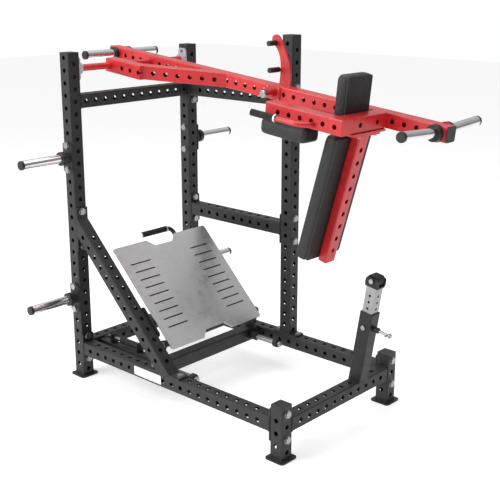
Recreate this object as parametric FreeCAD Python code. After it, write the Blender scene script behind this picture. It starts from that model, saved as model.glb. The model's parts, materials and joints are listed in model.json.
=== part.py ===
import FreeCAD, Part
import math
import os

# A pendulum squat machine built from perforated square tube.
# Millimetres.  X runs from the pivot end to the stop end, Y from the near
# side to the far side with 0 on the middle plane, Z up.  Everything is drawn
# from the outer face of the front posts and moved at the end, so that the
# origin is the bottom centre of the whole machine's box.

# ---- tube stock and its hole pattern
TUBE = 76.0
WALL = 4.0
CORNER = 6.0
PITCH = 68.0
HOLE_D = 25.0
CAP_T = 4.0
FLANGE_T = 8.0
FLANGE_LONG = 175.0
FLANGE_ROUND = 8.0
BOLT_D = 24.0
HEAD_D = 38.0
HEAD_T = 11.0

# ---- base frame
FRAME_W = 965.0
FRAME_L = 1600.0
RAIL_Z = 178.0
POST_H = 1872.0
MID_POST_H = 1959.0
MID_POST_X = 862.0
STUB_H = 288.0
FOOT_SIZE = 118.0
FOOT_T = 8.0
FOOT_ROUND = 18.0
RAIL_HOLE_X = 148.0
CROSS_X = 612.0
MID_BEAM_STEP = 10
TOP_BEAM_STEP = 21
BRACE_RUN = 985.0
BRACE_HOLE_T = -38.0
LABEL_X = 640.0
LABEL_L = 215.0
LABEL_H = 50.0
LABEL_T = 1.2

# ---- weight sleeves
SLEEVE_D = 50.0
SLEEVE_WALL = 3.5
SLEEVE_CAP_T = 16.0
STORE_STEPS = (4, 16)
STORE_REACH = 319.0
STORE_PLATE_H = 160.0
STORE_BOSS_L = 25.0
STORE_BOSS_D = 60.0
COLLAR_D = 76.0
COLLAR_T = 28.0
COUNTER_S = -305.0
COUNTER_REACH = 245.0
COUNTER_COLLAR_D = 72.0
LOAD_S = 1955.0
LOAD_REACH = 298.0
LOAD_COLLAR_D = 82.0
LOAD_TILT = 3.0

# ---- pendulum arm
PIVOT_X = TUBE / 2
PIVOT_Z = 1783.0
ARM_PITCH = 6.1
ARM_BEAM_Y = 177.0
ARM_REAR = -360.0
ARM_FRONT = 2007.0
ARM_HOLE_GAP = 78.0
ARM_REAR_HOLE = -85.0
END_CAP_T = 5.0
YOKE_Y = -128.5
YOKE_REAR = -34.0
YOKE_FRONT = 252.0
YOKE_SET_IN = 28.5
YOKE_ANGLE = 36.9
YOKE_HOLE_S = 104.0
YOKE_DIAG_HOLE = 54.0
PIVOT_TUBE_D = 38.0
SPINDLE_D = 30.0
RUNNING = 0.05
BEARING_BOSS_D = 66.0
BEARING_BOSS_L = 30.0
BEARING_H = 132.0
BEARING_W = 64.0
BEARING_T = 11.0
BEARING_BOLT = 45.0
SIDE_REAR = 1218.0
SIDE_FRONT = 1676.0
SIDE_HOLE_S = 1296.0

# ---- lock lever
LOCK_STEP = 13
LOCK_N = 0.0
LOCK_SHAFT_D = 24.0
LOCK_BOSS_D = 44.0
LOCK_BOSS_L = 70.0
LOCK_PLATE_L = 92.0
LOCK_PLATE_H = 72.0
LOCK_PLATE_T = 5.0
LEVER_T = 12.0
LEVER_PEG_D = 28.0

# ---- back tube and pads
BACK_TILT = 9.87
BACK_TUBE_DEEP = 50.0
BACK_REAR_S = 1662.9
BACK_TUBE_L = 690.0
BACK_FLANGE_T = 8.0
BACK_PAD_W = 286.0
BACK_PAD_T = 68.0
BACK_PAD_L = 666.0
BACK_PAD_DROP = 22.0
BOARD_T = 12.0
HEAD_PAD_W = 206.0
HEAD_PAD_T = 60.0
HEAD_PAD_TOP = 219.0
HEAD_PAD_LOW = -30.0
HEAD_BOARD_T = 10.0
SHOULDER_L = 284.0
SHOULDER_S = 1347.0
SHOULDER_W = 120.0
SHOULDER_T = 74.0
SHOULDER_BOARD_T = 8.0
PAD_ROUND = 14.0

# ---- hand grips beside the shoulder pads
GRIP_D = 34.0
GRIP_ROD_D = 25.0
GRIP_REAR = 1190.0
GRIP_L = 145.0
GRIP_OUT = 65.5
GRIP_N = -14.0
GRIP_CAP_T = 8.0
GRIP_RING_T = 10.0
GRIP_RING_D = 40.0
GRIP_JOIN_S = 1512.0
GRIP_BEND = 60.0

# ---- foot plate, in its own frame: p up the slope, q out of its face
PLATE_X = 715.0
PLATE_Z = 309.0
PLATE_SLOPE = 45.0
PLATE_LEN = 673.0
PLATE_W = 724.0
PLATE_T = 5.0
PLATE_ROUND = 14.0
NOTCH_LOW_W = 233.0
NOTCH_LOW_D = 42.0
NOTCH_TOP_W = 223.0
NOTCH_TOP_D = 45.0
NOTCH_SLANT = 44.0
SLOT_FIRST = 128.0
SLOT_PITCH = 52.6
SLOT_COUNT = 9
SLOT_IN = 157.5
SLOT_L = 147.0
SLOT_W = 8.0
STRIP_T = 3.0
HINGE_P = 53.0
HINGE_Q = -27.6
FOOT_TUBE_D = 40.0
FOOT_RAIL = 40.0
FOOT_RAIL_Y = 250.0
FOOT_RAIL_TOP = 630.0
FOOT_CROSS_P = 560.0
LATCH_P = 189.0
LATCH_TUBE_D = 30.0
QUADRANT_T = 8.0
QUADRANT_R = 26.0
SIDE_GAP = 3.0

# ---- foot plate lever
HANDLE_P = 725.0
HANDLE_Q = -24.0
HANDLE_L = 187.0
HANDLE_Y = -4.0
HANDLE_ROD_Y = 136.0
HANDLE_BEND = 34.0
HANDLE_PIVOT_P = 620.0
HANDLE_PIN_D = 12.0
HANDLE_EAR_T = 6.0

# ---- stop post
STOP_LEAN = 9.0
STOP_L = 397.0
STOP_BAR = 62.0
STOP_BAR_WALL = 3.0
STOP_OUT = 146.0
STOP_HIDDEN = 230.0
STOP_PITCH = 36.0
STOP_HOLE_D = 14.0
STOP_PIN_LOW = 82.0
BUMPER_L = 80.0
BUMPER_H = 54.0
BUMPER_HALF = 35.0
BUMPER_EAR_T = 8.0
BUMPER_BOLT_D = 16.0

# ---- pegs and low damper
PEG_Y = 342.5
PEG_D = 30.0
PEG_COLLAR_L = 55.0
PEG_COLLAR_D = 48.0
PEG_ROD_L = 135.0
PEG_KNOB_L = 30.0
PEG_KNOB_D = 50.0
PEG_TIP_L = 20.0
DAMPER_Y = -332.5
DAMPER_Z = 233.0
DAMPER_ROD_D = 20.0
DAMPER_BODY_D = 40.0
DAMPER_BODY_X = 252.0
DAMPER_BODY_L = 152.0

# ---- clearances
LOOSE = 0.5
TINY = 0.3

V = FreeCAD.Vector
X = V(1, 0, 0)
Y = V(0, 1, 0)
Z = V(0, 0, 1)
POST_Y = (FRAME_W - TUBE) / 2
INNER_Y = POST_Y - TUBE / 2
OUTER_Y = FRAME_W / 2
REAR_X = FRAME_L - TUBE / 2
RAIL_TOP = RAIL_Z + TUBE / 2
HALF_HOLE = PITCH / 2
nodes = {}


def box(x0, x1, y0, y1, z0, z1):
    """A box from its low and high corners."""
    return Part.makeBox(x1 - x0, y1 - y0, z1 - z0, V(x0, y0, z0))


def rounded_box(x0, x1, y0, y1, z0, z1, axis, radius):
    """A box whose four edges along one axis are rounded."""
    solid = box(x0, x1, y0, y1, z0, z1)
    along = []
    for edge in solid.Edges:
        run = edge.Vertexes[1].Point - edge.Vertexes[0].Point
        if abs(run.dot(axis)) > 0.5 * run.Length:
            along.append(edge)
    return solid.makeFillet(radius, along)


def rod(start, axis, length, diameter):
    """A round bar from a start point along an axis."""
    return Part.makeCylinder(diameter / 2, length, start, axis)


def disc(start, axis, length, diameter, rim):
    """A short round piece with both rims rounded."""
    solid = rod(start, axis, length, diameter)
    rims = [e for e in solid.Edges if len(e.Vertexes) == 1]
    return solid.makeFillet(rim, rims)


def pipe(start, axis, length, diameter, bore):
    """A round tube from a start point along an axis."""
    return rod(start, axis, length, diameter).cut(rod(start, axis, length, bore))


def place(shape, origin, along, across):
    """Turn a shape's X onto along and Y onto across, then move it."""
    rotation = FreeCAD.Rotation(along, across, along.cross(across), "XYZ")
    moved = shape.copy()
    moved.Placement = FreeCAD.Placement(origin, rotation)
    return moved


def steps(first, last, pitch=PITCH):
    """Positions from first to last, one pitch apart."""
    return [first + pitch * i for i in range(int((last - first) / pitch + 1.001))]


def tube(length, wide, deep, side_holes=(), face_holes=(), cap_start=0.0, cap_end=0.0):
    """Square tube along X from 0: side holes run through Y, face holes through Z."""
    w, d = wide / 2, deep / 2
    outer = rounded_box(0, length, -w, w, -d, d, X, CORNER)
    inner = rounded_box(cap_start, length - cap_end, WALL - w, w - WALL,
                        WALL - d, d - WALL, X, CORNER - WALL)
    tools = [inner]
    for s in side_holes:
        tools.append(rod(V(s, -w - 1, 0), Y, wide + 2, HOLE_D))
    for s in face_holes:
        tools.append(rod(V(s, 0, -d - 1), Z, deep + 2, HOLE_D))
    return outer.cut(tools)


def flange(at, length=FLANGE_LONG, offset=0.0):
    """End plate across X, long in Z, with two bolt holes a pitch from its middle."""
    low, high = offset - length / 2, offset + length / 2
    plate = rounded_box(at, at + FLANGE_T, -TUBE / 2, TUBE / 2, low, high, X, FLANGE_ROUND)
    holes = [rod(V(at - 1, 0, offset + k * PITCH), X, FLANGE_T + 2, HOLE_D) for k in (-1, 1)]
    return plate.cut(holes)


def bolt(start, axis, grip):
    """Hex-headed bolt with its nut: the heads sit on the two faces of the grip."""
    across = V(axis.y, axis.z, axis.x)
    ring = []
    for i in range(6):
        turn = FreeCAD.Rotation(axis, 60.0 * i)
        ring.append(turn.multVec(across) * (HEAD_D / 2))
    ends = []
    for base in (start - axis * HEAD_T, start + axis * grip):
        face = Part.Face(Part.makePolygon([base + r for r in ring + ring[:1]]))
        ends.append(face.extrude(axis * HEAD_T))
    return ends[0].fuse([ends[1], rod(start, axis, grip, BOLT_D)])


def bent_bar(points, diameter, bend):
    """Round bar along straight runs with an arc of the bend radius at each corner."""
    edges = []
    last = points[0]
    for before, corner, after in zip(points, points[1:], points[2:]):
        a = (before - corner).normalize()
        b = (after - corner).normalize()
        half = a.getAngle(b) / 2
        reach = bend / math.tan(half)
        enter, leave = corner + a * reach, corner + b * reach
        middle = corner + (a + b).normalize() * (bend / math.sin(half) - bend)
        edges.append(Part.makeLine(last, enter))
        edges.append(Part.Arc(enter, middle, leave).toShape())
        last = leave
    edges.append(Part.makeLine(last, points[-1]))
    path = Part.Wire(edges)
    start = (points[1] - points[0]).normalize()
    ring = Part.Wire([Part.makeCircle(diameter / 2, points[0], start)])
    return path.makePipeShell([ring], True, False)


def mirrored(shape):
    """The same piece on the other side of the middle plane."""
    return shape.mirror(V(0, 0, 0), Y)


def both(shape):
    """A piece and its mirror image, as separate solids."""
    return [shape, mirrored(shape)]


def group(shapes):
    """Separate solids that share one node."""
    return Part.makeCompound(shapes)


# ---- posts and their feet


def post(height, foot):
    """Upright tube whose holes through X sit at the rail's height plus whole pitches."""
    x_holes = [z - foot for z in steps(RAIL_Z - 2 * PITCH, height - HALF_HOLE) if z > foot + PITCH / 4]
    y_holes = [z - foot for z in steps(RAIL_Z - 1.5 * PITCH, height - HOLE_D) if z > foot + PITCH / 2]
    return tube(height - foot, TUBE, TUBE, y_holes, x_holes, 0.0, CAP_T)


def upright(shape, x, y, foot):
    """Stand a tube on end with its side holes through Y and face holes through X."""
    return place(shape, V(x, y, foot), Z, Y)


tall = post(POST_H, FOOT_T)
stub = post(STUB_H, FOOT_T)
nodes["posts_front"] = group([upright(tall, PIVOT_X, y, FOOT_T) for y in (-POST_Y, POST_Y)])
nodes["posts_stop"] = group([upright(stub, REAR_X, y, FOOT_T) for y in (-POST_Y, POST_Y)])

mid_foot = RAIL_TOP + FLANGE_T
mid_tube = upright(post(MID_POST_H, mid_foot), MID_POST_X, POST_Y, mid_foot)
mid_flange = place(flange(0.0), V(MID_POST_X, POST_Y, RAIL_TOP), Z, V(0, -1, 0))
nodes["post_middle"] = group([mid_tube, mid_flange])

half = FOOT_SIZE / 2
feet = []
for x in (PIVOT_X, REAR_X):
    for y in (-POST_Y, POST_Y):
        feet.append(rounded_box(x - half, x + half, y - half, y + half, 0, FOOT_T, Z, FOOT_ROUND))
nodes["floor_plates"] = group(feet)


# ---- beams between the posts
def flanged(length, side_holes, face_holes):
    """Beam along X, welded between two end plates."""
    reach = FLANGE_LONG
    body = tube(length, TUBE, TUBE, side_holes, face_holes)
    body = body.common(box(FLANGE_T, length - FLANGE_T, -reach, reach, -reach, reach))
    return group([body, flange(0.0), flange(length - FLANGE_T)])


rail_l = FRAME_L - 2 * TUBE
side_x = [x - TUBE for x in steps(RAIL_HOLE_X, FRAME_L - TUBE - HALF_HOLE)]
face_x = [x - TUBE for x in steps(RAIL_HOLE_X + HALF_HOLE, FRAME_L - TUBE - PITCH)]
rail = flanged(rail_l, side_x, face_x)
nodes["rails_side"] = group([place(rail, V(TUBE, y, RAIL_Z), X, Y) for y in (-POST_Y, POST_Y)])

link_l = MID_POST_X - TUBE / 2 - TUBE
link_mid = link_l / 2
link_half = 4 * PITCH
link = flanged(link_l, steps(link_mid - link_half, link_mid + link_half),
               steps(link_mid - link_half + HALF_HOLE, link_mid + link_half - HALF_HOLE))
mid_beam_z = RAIL_Z + MID_BEAM_STEP * PITCH
top_beam_z = RAIL_Z + TOP_BEAM_STEP * PITCH
nodes["beams_far"] = group([place(link, V(TUBE, POST_Y, z), X, Y) for z in (mid_beam_z, top_beam_z)])

cross_l = 2 * INNER_Y
cross_mid = cross_l / 2


def cross_beam(x, z, count):
    """Beam along Y between the posts: an odd or even row of holes about its middle."""
    reach = PITCH * (count - 1) / 2
    face = steps(cross_mid - reach, cross_mid + reach)
    side = steps(cross_mid - reach + HALF_HOLE, cross_mid + reach - HALF_HOLE)
    body = tube(cross_l, TUBE, TUBE, face, side)
    return place(body, V(x, -INNER_Y, z), Y, V(-1, 0, 0))


nodes["rail_front"] = cross_beam(PIVOT_X, RAIL_Z, 12)
nodes["beam_top_front"] = cross_beam(PIVOT_X, top_beam_z, 12)
nodes["rail_stop"] = cross_beam(REAR_X, RAIL_Z, 11)
nodes["crossbar_low"] = place(tube(cross_l, TUBE, TUBE), V(CROSS_X, -INNER_Y, RAIL_Z), Y, V(-1, 0, 0))

# ---- slanted brace from the near front post down to its rail
DOWN = V(1, 0, -1).normalize()
BRACE_SPAN = 3 * PITCH
brace_mid = V(BRACE_RUN / 2, -POST_Y, BRACE_RUN / 2)
brace_start = brace_mid - DOWN * BRACE_RUN
y_row = [t + BRACE_RUN for t in steps(BRACE_HOLE_T - 7 * PITCH, BRACE_HOLE_T + 5 * PITCH)]
n_row = [t + HALF_HOLE for t in y_row]
brace = place(tube(2 * BRACE_RUN, TUBE, TUBE, y_row, n_row), brace_start, DOWN, Y)
brace = brace.common(box(TUBE + FLANGE_T, FRAME_L, -FRAME_W, 0, RAIL_TOP + FLANGE_T, POST_H))
brace_top_z = RAIL_Z + 10.5 * PITCH
brace_low_x = RAIL_HOLE_X + 9 * PITCH


def brace_plate(origin, along, across):
    """Brace end plate whose two bolt holes stand three pitches apart."""
    high = BRACE_SPAN / 2 + 25.0
    plate = rounded_box(0, FLANGE_T, -TUBE / 2, TUBE / 2, -high, high, X, FLANGE_ROUND)
    holes = [rod(V(-1, 0, k * BRACE_SPAN / 2), X, FLANGE_T + 2, HOLE_D) for k in (-1, 1)]
    return place(plate.cut(holes), origin, along, across)


nodes["brace_near"] = brace.fuse([brace_plate(V(TUBE, -POST_Y, brace_top_z), X, Y),
                                  brace_plate(V(brace_low_x, -POST_Y, RAIL_TOP), Z, Y)])

# ---- bolts of the frame
GRIP = TUBE + FLANGE_T
frame_bolts = []
for y in (-POST_Y, POST_Y):
    for x in (0.0, FRAME_L - GRIP):
        for k in (-1, 1):
            frame_bolts.append(bolt(V(x, y, RAIL_Z + k * PITCH), X, GRIP))
for z in (mid_beam_z, top_beam_z):
    for x in (0.0, MID_POST_X - TUBE / 2 - FLANGE_T):
        for k in (-1, 1):
            frame_bolts.append(bolt(V(x, POST_Y, z + k * PITCH), X, GRIP))
for k in (-1, 1):
    offset = k * BRACE_SPAN / 2
    frame_bolts.append(bolt(V(0, -POST_Y, brace_top_z + offset), X, GRIP))
    frame_bolts.append(bolt(V(brace_low_x + offset, -POST_Y, RAIL_TOP - TUBE), Z, GRIP))
    frame_bolts.append(bolt(V(MID_POST_X + k * PITCH, POST_Y, RAIL_TOP - TUBE), Z, GRIP))

nodes["label_blank"] = rounded_box(LABEL_X - LABEL_L / 2, LABEL_X + LABEL_L / 2,
                                   -OUTER_Y - LABEL_T, -OUTER_Y, RAIL_Z - LABEL_H / 2,
                                   RAIL_Z + LABEL_H / 2, Y, 3.0)


# ---- weight sleeves
def horn(start, axis, reach, collar_d, collar_t):
    """Collar, sleeve and end cap of one weight horn, one after the other."""
    tube_l = reach - collar_t - SLEEVE_CAP_T
    collar = disc(start, axis, collar_t, collar_d, 3.0)
    sleeve = pipe(start + axis * collar_t, axis, tube_l, SLEEVE_D, SLEEVE_D - 2 * SLEEVE_WALL)
    cap = disc(start + axis * (reach - SLEEVE_CAP_T), axis, SLEEVE_CAP_T, SLEEVE_D, 2.5)
    return collar, sleeve, cap


NEAR = V(0, -1, 0)
store_plates, horns = [], []
for step in STORE_STEPS:
    z = RAIL_Z + (step + 0.5) * PITCH
    high = STORE_PLATE_H / 2
    plate = rounded_box(0, TUBE, -OUTER_Y - FLANGE_T, -OUTER_Y, z - high, z + high, Y, FLANGE_ROUND)
    holes = [rod(V(PIVOT_X, 1 - OUTER_Y, z + k * PITCH), NEAR, FLANGE_T + 2, HOLE_D) for k in (-1, 1)]
    hub = V(PIVOT_X, -OUTER_Y - FLANGE_T, z)
    store_plates += both(plate.cut(holes).fuse(rod(hub, NEAR, STORE_BOSS_L, STORE_BOSS_D)))
    for k in (-1, 1):
        frame_bolts += both(bolt(V(PIVOT_X, -OUTER_Y - FLANGE_T, z + k * PITCH), Y, GRIP))
    reach = STORE_REACH - FLANGE_T - STORE_BOSS_L
    pieces = horn(hub + NEAR * STORE_BOSS_L, NEAR, reach, COLLAR_D, COLLAR_T)
    horns.append(pieces)
    horns.append([mirrored(piece) for piece in pieces])
nodes["storage_plates"] = group(store_plates)
nodes["frame_bolts"] = group(frame_bolts)
frame_collars, store_sleeves, store_caps = [list(shapes) for shapes in zip(*horns)]
nodes["storage_sleeves"] = group(store_sleeves)
nodes["storage_caps"] = group(store_caps)

# ---- pivot bearings on the front posts
bearing_far = rounded_box(PIVOT_X - BEARING_W / 2, PIVOT_X + BEARING_W / 2, INNER_Y - BEARING_T,
                          INNER_Y, PIVOT_Z - BEARING_H / 2, PIVOT_Z + BEARING_H / 2, Y, 24.0)
boss_end = INNER_Y - BEARING_BOSS_L
bearing_far = bearing_far.fuse(rod(V(PIVOT_X, boss_end, PIVOT_Z), Y, BEARING_BOSS_L, BEARING_BOSS_D))
bearing_far = bearing_far.cut(rod(V(PIVOT_X, boss_end - 1, PIVOT_Z), Y, BEARING_BOSS_L + 2,
                                  SPINDLE_D + 2 * RUNNING))
nodes["bearings"] = group(both(bearing_far))
small_bolts = []
for k in (-1, 1):
    head = rod(V(PIVOT_X, INNER_Y - BEARING_T - 7.0, PIVOT_Z + k * BEARING_BOLT * 1.08), Y, 7.0, 16.0)
    small_bolts += both(head)

# ---- pegs on the low crossbar
peg_x = CROSS_X + TUBE / 2
peg_rods = []
for y in (-PEG_Y, PEG_Y):
    at = V(peg_x, y, RAIL_Z)
    frame_collars.append(disc(at, X, PEG_COLLAR_L, PEG_COLLAR_D, 3.0))
    at = at + X * PEG_COLLAR_L
    peg_rods.append(rod(at, X, PEG_ROD_L, PEG_D))
    at = at + X * PEG_ROD_L
    frame_collars.append(disc(at, X, PEG_KNOB_L, PEG_KNOB_D, 4.0))
    at = at + X * PEG_KNOB_L
    peg_rods.append(disc(at, X, PEG_TIP_L, PEG_D, 5.0))
nodes["frame_collars"] = group(frame_collars)
nodes["peg_rods"] = group(peg_rods)

# ---- rail and damper under the foot plate
ROUND_SEAT = DAMPER_BODY_D / 2
inner_top = DAMPER_Z - ROUND_SEAT - 10.0
inner_rail = rounded_box(TUBE, CROSS_X - TUBE / 2, DAMPER_Y - 25, DAMPER_Y + 25,
                         inner_top - 50, inner_top, X, 5.0)
mounts = []
for x in (DAMPER_BODY_X - 72.0, DAMPER_BODY_X + DAMPER_BODY_L):
    plate = rounded_box(x, x + 10, DAMPER_Y - 25, DAMPER_Y + 25, inner_top, DAMPER_Z + 26, X, 4.0)
    mounts.append(plate)
rod_hole = rod(V(DAMPER_BODY_X - 90, DAMPER_Y, DAMPER_Z), X, 60, DAMPER_ROD_D + 2 * LOOSE)
mounts[0] = mounts[0].cut(rod_hole)
nodes["inner_rail"] = group([inner_rail] + mounts)
nodes["damper_body"] = disc(V(DAMPER_BODY_X, DAMPER_Y, DAMPER_Z), X, DAMPER_BODY_L, DAMPER_BODY_D, 3.0)
nodes["damper_rod"] = rod(V(DAMPER_BODY_X - 110, DAMPER_Y, DAMPER_Z), X, 110, DAMPER_ROD_D)

# ---- pendulum arm, drawn level about its pivot and turned by its pitch
arm_nodes = {}
half_t = TUBE / 2
beam_near = ARM_BEAM_Y - half_t
beam_far = ARM_BEAM_Y + half_t
side_near = -ARM_BEAM_Y - half_t
lock_s = ARM_HOLE_GAP + LOCK_STEP * PITCH
front_holes = steps(ARM_HOLE_GAP, ARM_HOLE_GAP + 26 * PITCH)
rear_holes = [ARM_REAR_HOLE - PITCH * i for i in range(3)]
beam_holes = [s - ARM_REAR for s in rear_holes + front_holes]
arm_beam = tube(ARM_FRONT - ARM_REAR, TUBE, TUBE, beam_holes)
arm_beam.translate(V(ARM_REAR, ARM_BEAM_Y, 0))
pivot_hole = rod(V(0, -FRAME_W, 0), Y, 2 * FRAME_W, PIVOT_TUBE_D + 2 * TINY)
arm_nodes["arm_beam"] = arm_beam.cut(pivot_hole)
caps = []
for s in (ARM_REAR - END_CAP_T, ARM_FRONT):
    caps.append(rounded_box(s, s + END_CAP_T, beam_near, beam_far, -half_t, half_t, X, 9.0))
arm_nodes["arm_end_caps"] = group(caps)

yoke_l = YOKE_FRONT - YOKE_REAR
yoke_row = [s - YOKE_REAR for s in steps(YOKE_HOLE_S, YOKE_HOLE_S + 2 * PITCH)]
yoke = tube(yoke_l, TUBE, TUBE, yoke_row, (), CAP_T, CAP_T)
yoke.translate(V(YOKE_REAR, YOKE_Y, 0))
yoke_solid = box(YOKE_REAR - TUBE, YOKE_FRONT, YOKE_Y - half_t, YOKE_Y + half_t, -TUBE, TUBE)
arm_nodes["yoke_straight"] = yoke.cut(pivot_hole)
slant = math.radians(YOKE_ANGLE)
along = V(math.cos(slant), math.sin(slant), 0)
across = V(-math.sin(slant), math.cos(slant), 0)
corner = V(YOKE_FRONT, YOKE_Y - half_t + YOKE_SET_IN, 0)
lead = 2 * TUBE
diag_row = [lead + YOKE_DIAG_HOLE + i * PITCH for i in range(6)]
diag = tube(lead + 8 * PITCH, TUBE, TUBE, diag_row)
diag = place(diag, corner - along * lead + across * half_t, along, across)
beam_side = box(-FRAME_L, 2 * FRAME_L, beam_near, FRAME_W, -TUBE, TUBE)
rear_side = box(-FRAME_L, YOKE_FRONT - TUBE, -FRAME_W, FRAME_W, -TUBE, TUBE)
outer_side = box(-FRAME_L, YOKE_FRONT, -FRAME_W, YOKE_Y, -TUBE, TUBE)
arm_nodes["yoke_diagonal"] = diag.cut([yoke_solid, beam_side, rear_side, outer_side])

tube_end = INNER_Y - BEARING_BOSS_L - 6.0
arm_nodes["pivot_tube"] = rod(V(0, -tube_end, 0), Y, 2 * tube_end, PIVOT_TUBE_D)
spindle_l = INNER_Y - 1.0 - tube_end
arm_nodes["pivot_spindles"] = group(both(rod(V(0, tube_end, 0), Y, spindle_l, SPINDLE_D)))

side_l = SIDE_FRONT - SIDE_REAR
side_row = [s - SIDE_REAR for s in steps(SIDE_HOLE_S, SIDE_FRONT - HALF_HOLE)]
side_bar = tube(side_l, TUBE, TUBE, side_row, (), CAP_T, CAP_T)
side_bar.translate(V(SIDE_REAR, -ARM_BEAM_Y, 0))
arm_nodes["side_bar"] = side_bar
rear_l = 2 * ARM_BEAM_Y - TUBE
rear_mid = SIDE_FRONT - half_t
rear_bar = tube(rear_l, TUBE, TUBE, [rear_l / 2 - PITCH, rear_l / 2 + PITCH])
rear_bar = place(rear_bar, V(rear_mid, side_near + TUBE, 0), Y, V(-1, 0, 0))

arm_horns = []
for y, axis in ((beam_near, NEAR), (beam_far, Y)):
    arm_horns.append(horn(V(COUNTER_S, y, 3.0), axis, COUNTER_REACH, COUNTER_COLLAR_D, COLLAR_T))
tilt = math.radians(LOAD_TILT)
for y, side in ((beam_near, -1), (beam_far, 1)):
    axis = V(0, side * math.cos(tilt), math.sin(tilt))
    collar, sleeve, cap = horn(V(LOAD_S, y - side * 4.0, 0), axis, LOAD_REACH + 4.0, LOAD_COLLAR_D, 36.0)
    keep = box(0, 2 * FRAME_L, beam_far, FRAME_W, -FRAME_W, FRAME_W)
    if side < 0:
        keep = box(0, 2 * FRAME_L, -FRAME_W, beam_near, -FRAME_W, FRAME_W)
    arm_horns.append((collar.common(keep), sleeve, cap))

# ---- lock boss and lever on the arm
lock_plate = rounded_box(lock_s - LOCK_PLATE_L / 2, lock_s + LOCK_PLATE_L / 2, beam_near - LOCK_PLATE_T,
                         beam_near, -LOCK_PLATE_H / 2, LOCK_PLATE_H / 2, Y, 5.0)
boss_front = beam_near - LOCK_PLATE_T - LOCK_BOSS_L
lock_boss = lock_plate.fuse(rod(V(lock_s, boss_front, LOCK_N), Y, LOCK_BOSS_L, LOCK_BOSS_D))
lock_bore = rod(V(lock_s, boss_front - 1, LOCK_N), Y, LOCK_BOSS_L + TUBE, LOCK_SHAFT_D + 2 * RUNNING)
arm_nodes["lock_boss"] = lock_boss.cut(lock_bore)
screws = []
for i in (-1, 1):
    for k in (-1, 1):
        at = V(lock_s + i * 38.0, beam_near - LOCK_PLATE_T, k * 27.0)
        screws.append(disc(at, NEAR, 4.0, 10.0, 1.5))
lock_cap = disc(V(lock_s, boss_front - 1.0, LOCK_N), NEAR, 14.0, 42.0, 4.0)
lever_near = beam_far + 2.0
shaft_l = lever_near + LEVER_T - boss_front + 1.0
lock_shaft = rod(V(lock_s, boss_front - 1.0, LOCK_N), Y, shaft_l, LOCK_SHAFT_D)
arm_nodes["lock_shaft"] = lock_shaft.fuse(lock_cap)

LEVER_EDGE = ((-33, 5), (-31, 55), (-32, 118), (-58, 200), (-90, 232), (-108, 256), (-96, 281),
              (-70, 282), (-42, 254), (0, 190), (26, 140), (37, 88), (36, 35), (33, 5))
edge_points = [V(lock_s + s, lever_near, LOCK_N + n) for s, n in LEVER_EDGE]
curve = Part.BSplineCurve()
curve.interpolate(edge_points)
heel = Part.Arc(edge_points[-1], V(lock_s, lever_near, LOCK_N - 34.0), edge_points[0]).toShape()
blade = Part.Face(Part.Wire([curve.toShape(), heel])).extrude(Y * LEVER_T)
arm_nodes["lock_blade"] = blade.cut(rod(V(lock_s, 0, LOCK_N), Y, FRAME_W, LOCK_SHAFT_D + 2 * TINY))
pegs = []
for s, n, reach in ((-80.0, 241.0, 60.0), (-42.0, 108.0, 80.0)):
    at = V(lock_s + s, lever_near, LOCK_N + n)
    pegs.append(disc(at, NEAR, reach, LEVER_PEG_D, 3.0))
arm_nodes["lock_pegs"] = group(pegs)

# ---- back tube, back pad and head pad
tip = math.radians(BACK_TILT)
back_up = V(math.sin(tip), 0, math.cos(tip))
back_out = V(-math.cos(tip), 0, math.sin(tip))
plate_low = -half_t - 10.0
flange_low = plate_low - BACK_FLANGE_T
flange_s = (SIDE_FRONT - TUBE + 8.0, SIDE_FRONT + 10.0)
neck_plate = rounded_box(flange_s[0], flange_s[1], -beam_near + 4, beam_near - 4, plate_low, -half_t, Z, 6.0)
arm_nodes["rear_bar"] = rear_bar.fuse(neck_plate)
back_plate = rounded_box(flange_s[0], flange_s[1], -90, 90, flange_low, plate_low, Z, 6.0)
back_top = V(BACK_REAR_S, 0, flange_low) + back_out * (BACK_TUBE_DEEP / 2)
back_row = [80.0 + i * PITCH for i in range(9)]
back_tube = place(tube(BACK_TUBE_L + 60, TUBE, BACK_TUBE_DEEP, (), [60 + t for t in back_row]),
                  back_top + back_up * 60.0, back_up * -1, Y)
back_tube = back_tube.cut(box(-FRAME_L, 3 * FRAME_L, -FRAME_W, FRAME_W, flange_low, FRAME_L))
arm_nodes["back_tube"] = group([back_tube, back_plate])
for y in (-65.0, 65.0):
    for s in (flange_s[0] + 14.0, flange_s[1] - 14.0):
        screws.append(disc(V(s, y, flange_low), Z * -1, 8.0, 18.0, 1.5))
arm_nodes["arm_screws"] = group(screws)

front_face = V(BACK_REAR_S, 0, flange_low) + back_out * BACK_TUBE_DEEP
pad_top = front_face - back_up * BACK_PAD_DROP


def back_slab(near, far, wide, length, trim, radius):
    """Slab in front of the back tube, from near to far out of its front face."""
    slab = rounded_box(trim, length - trim, -wide / 2, wide / 2, near, far, Z, radius)
    return place(slab, pad_top, back_up * -1, Y * -1)


boards = [back_slab(0, BOARD_T, BACK_PAD_W - 20, BACK_PAD_L, 10.0, 12.0)]
arm_nodes["back_pad"] = back_slab(BOARD_T, BOARD_T + BACK_PAD_T, BACK_PAD_W, BACK_PAD_L, 0.0, PAD_ROUND)

head_back = SIDE_FRONT - TUBE
head_w = HEAD_PAD_W / 2
boards.append(rounded_box(head_back - HEAD_BOARD_T, head_back, 8 - head_w, head_w - 8,
                          HEAD_PAD_LOW + 8, HEAD_PAD_TOP - 8, X, 12.0))
arm_nodes["head_pad"] = rounded_box(head_back - HEAD_BOARD_T - HEAD_PAD_T, head_back - HEAD_BOARD_T,
                                    -head_w, head_w, HEAD_PAD_LOW, HEAD_PAD_TOP, X, PAD_ROUND + 4)

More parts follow.
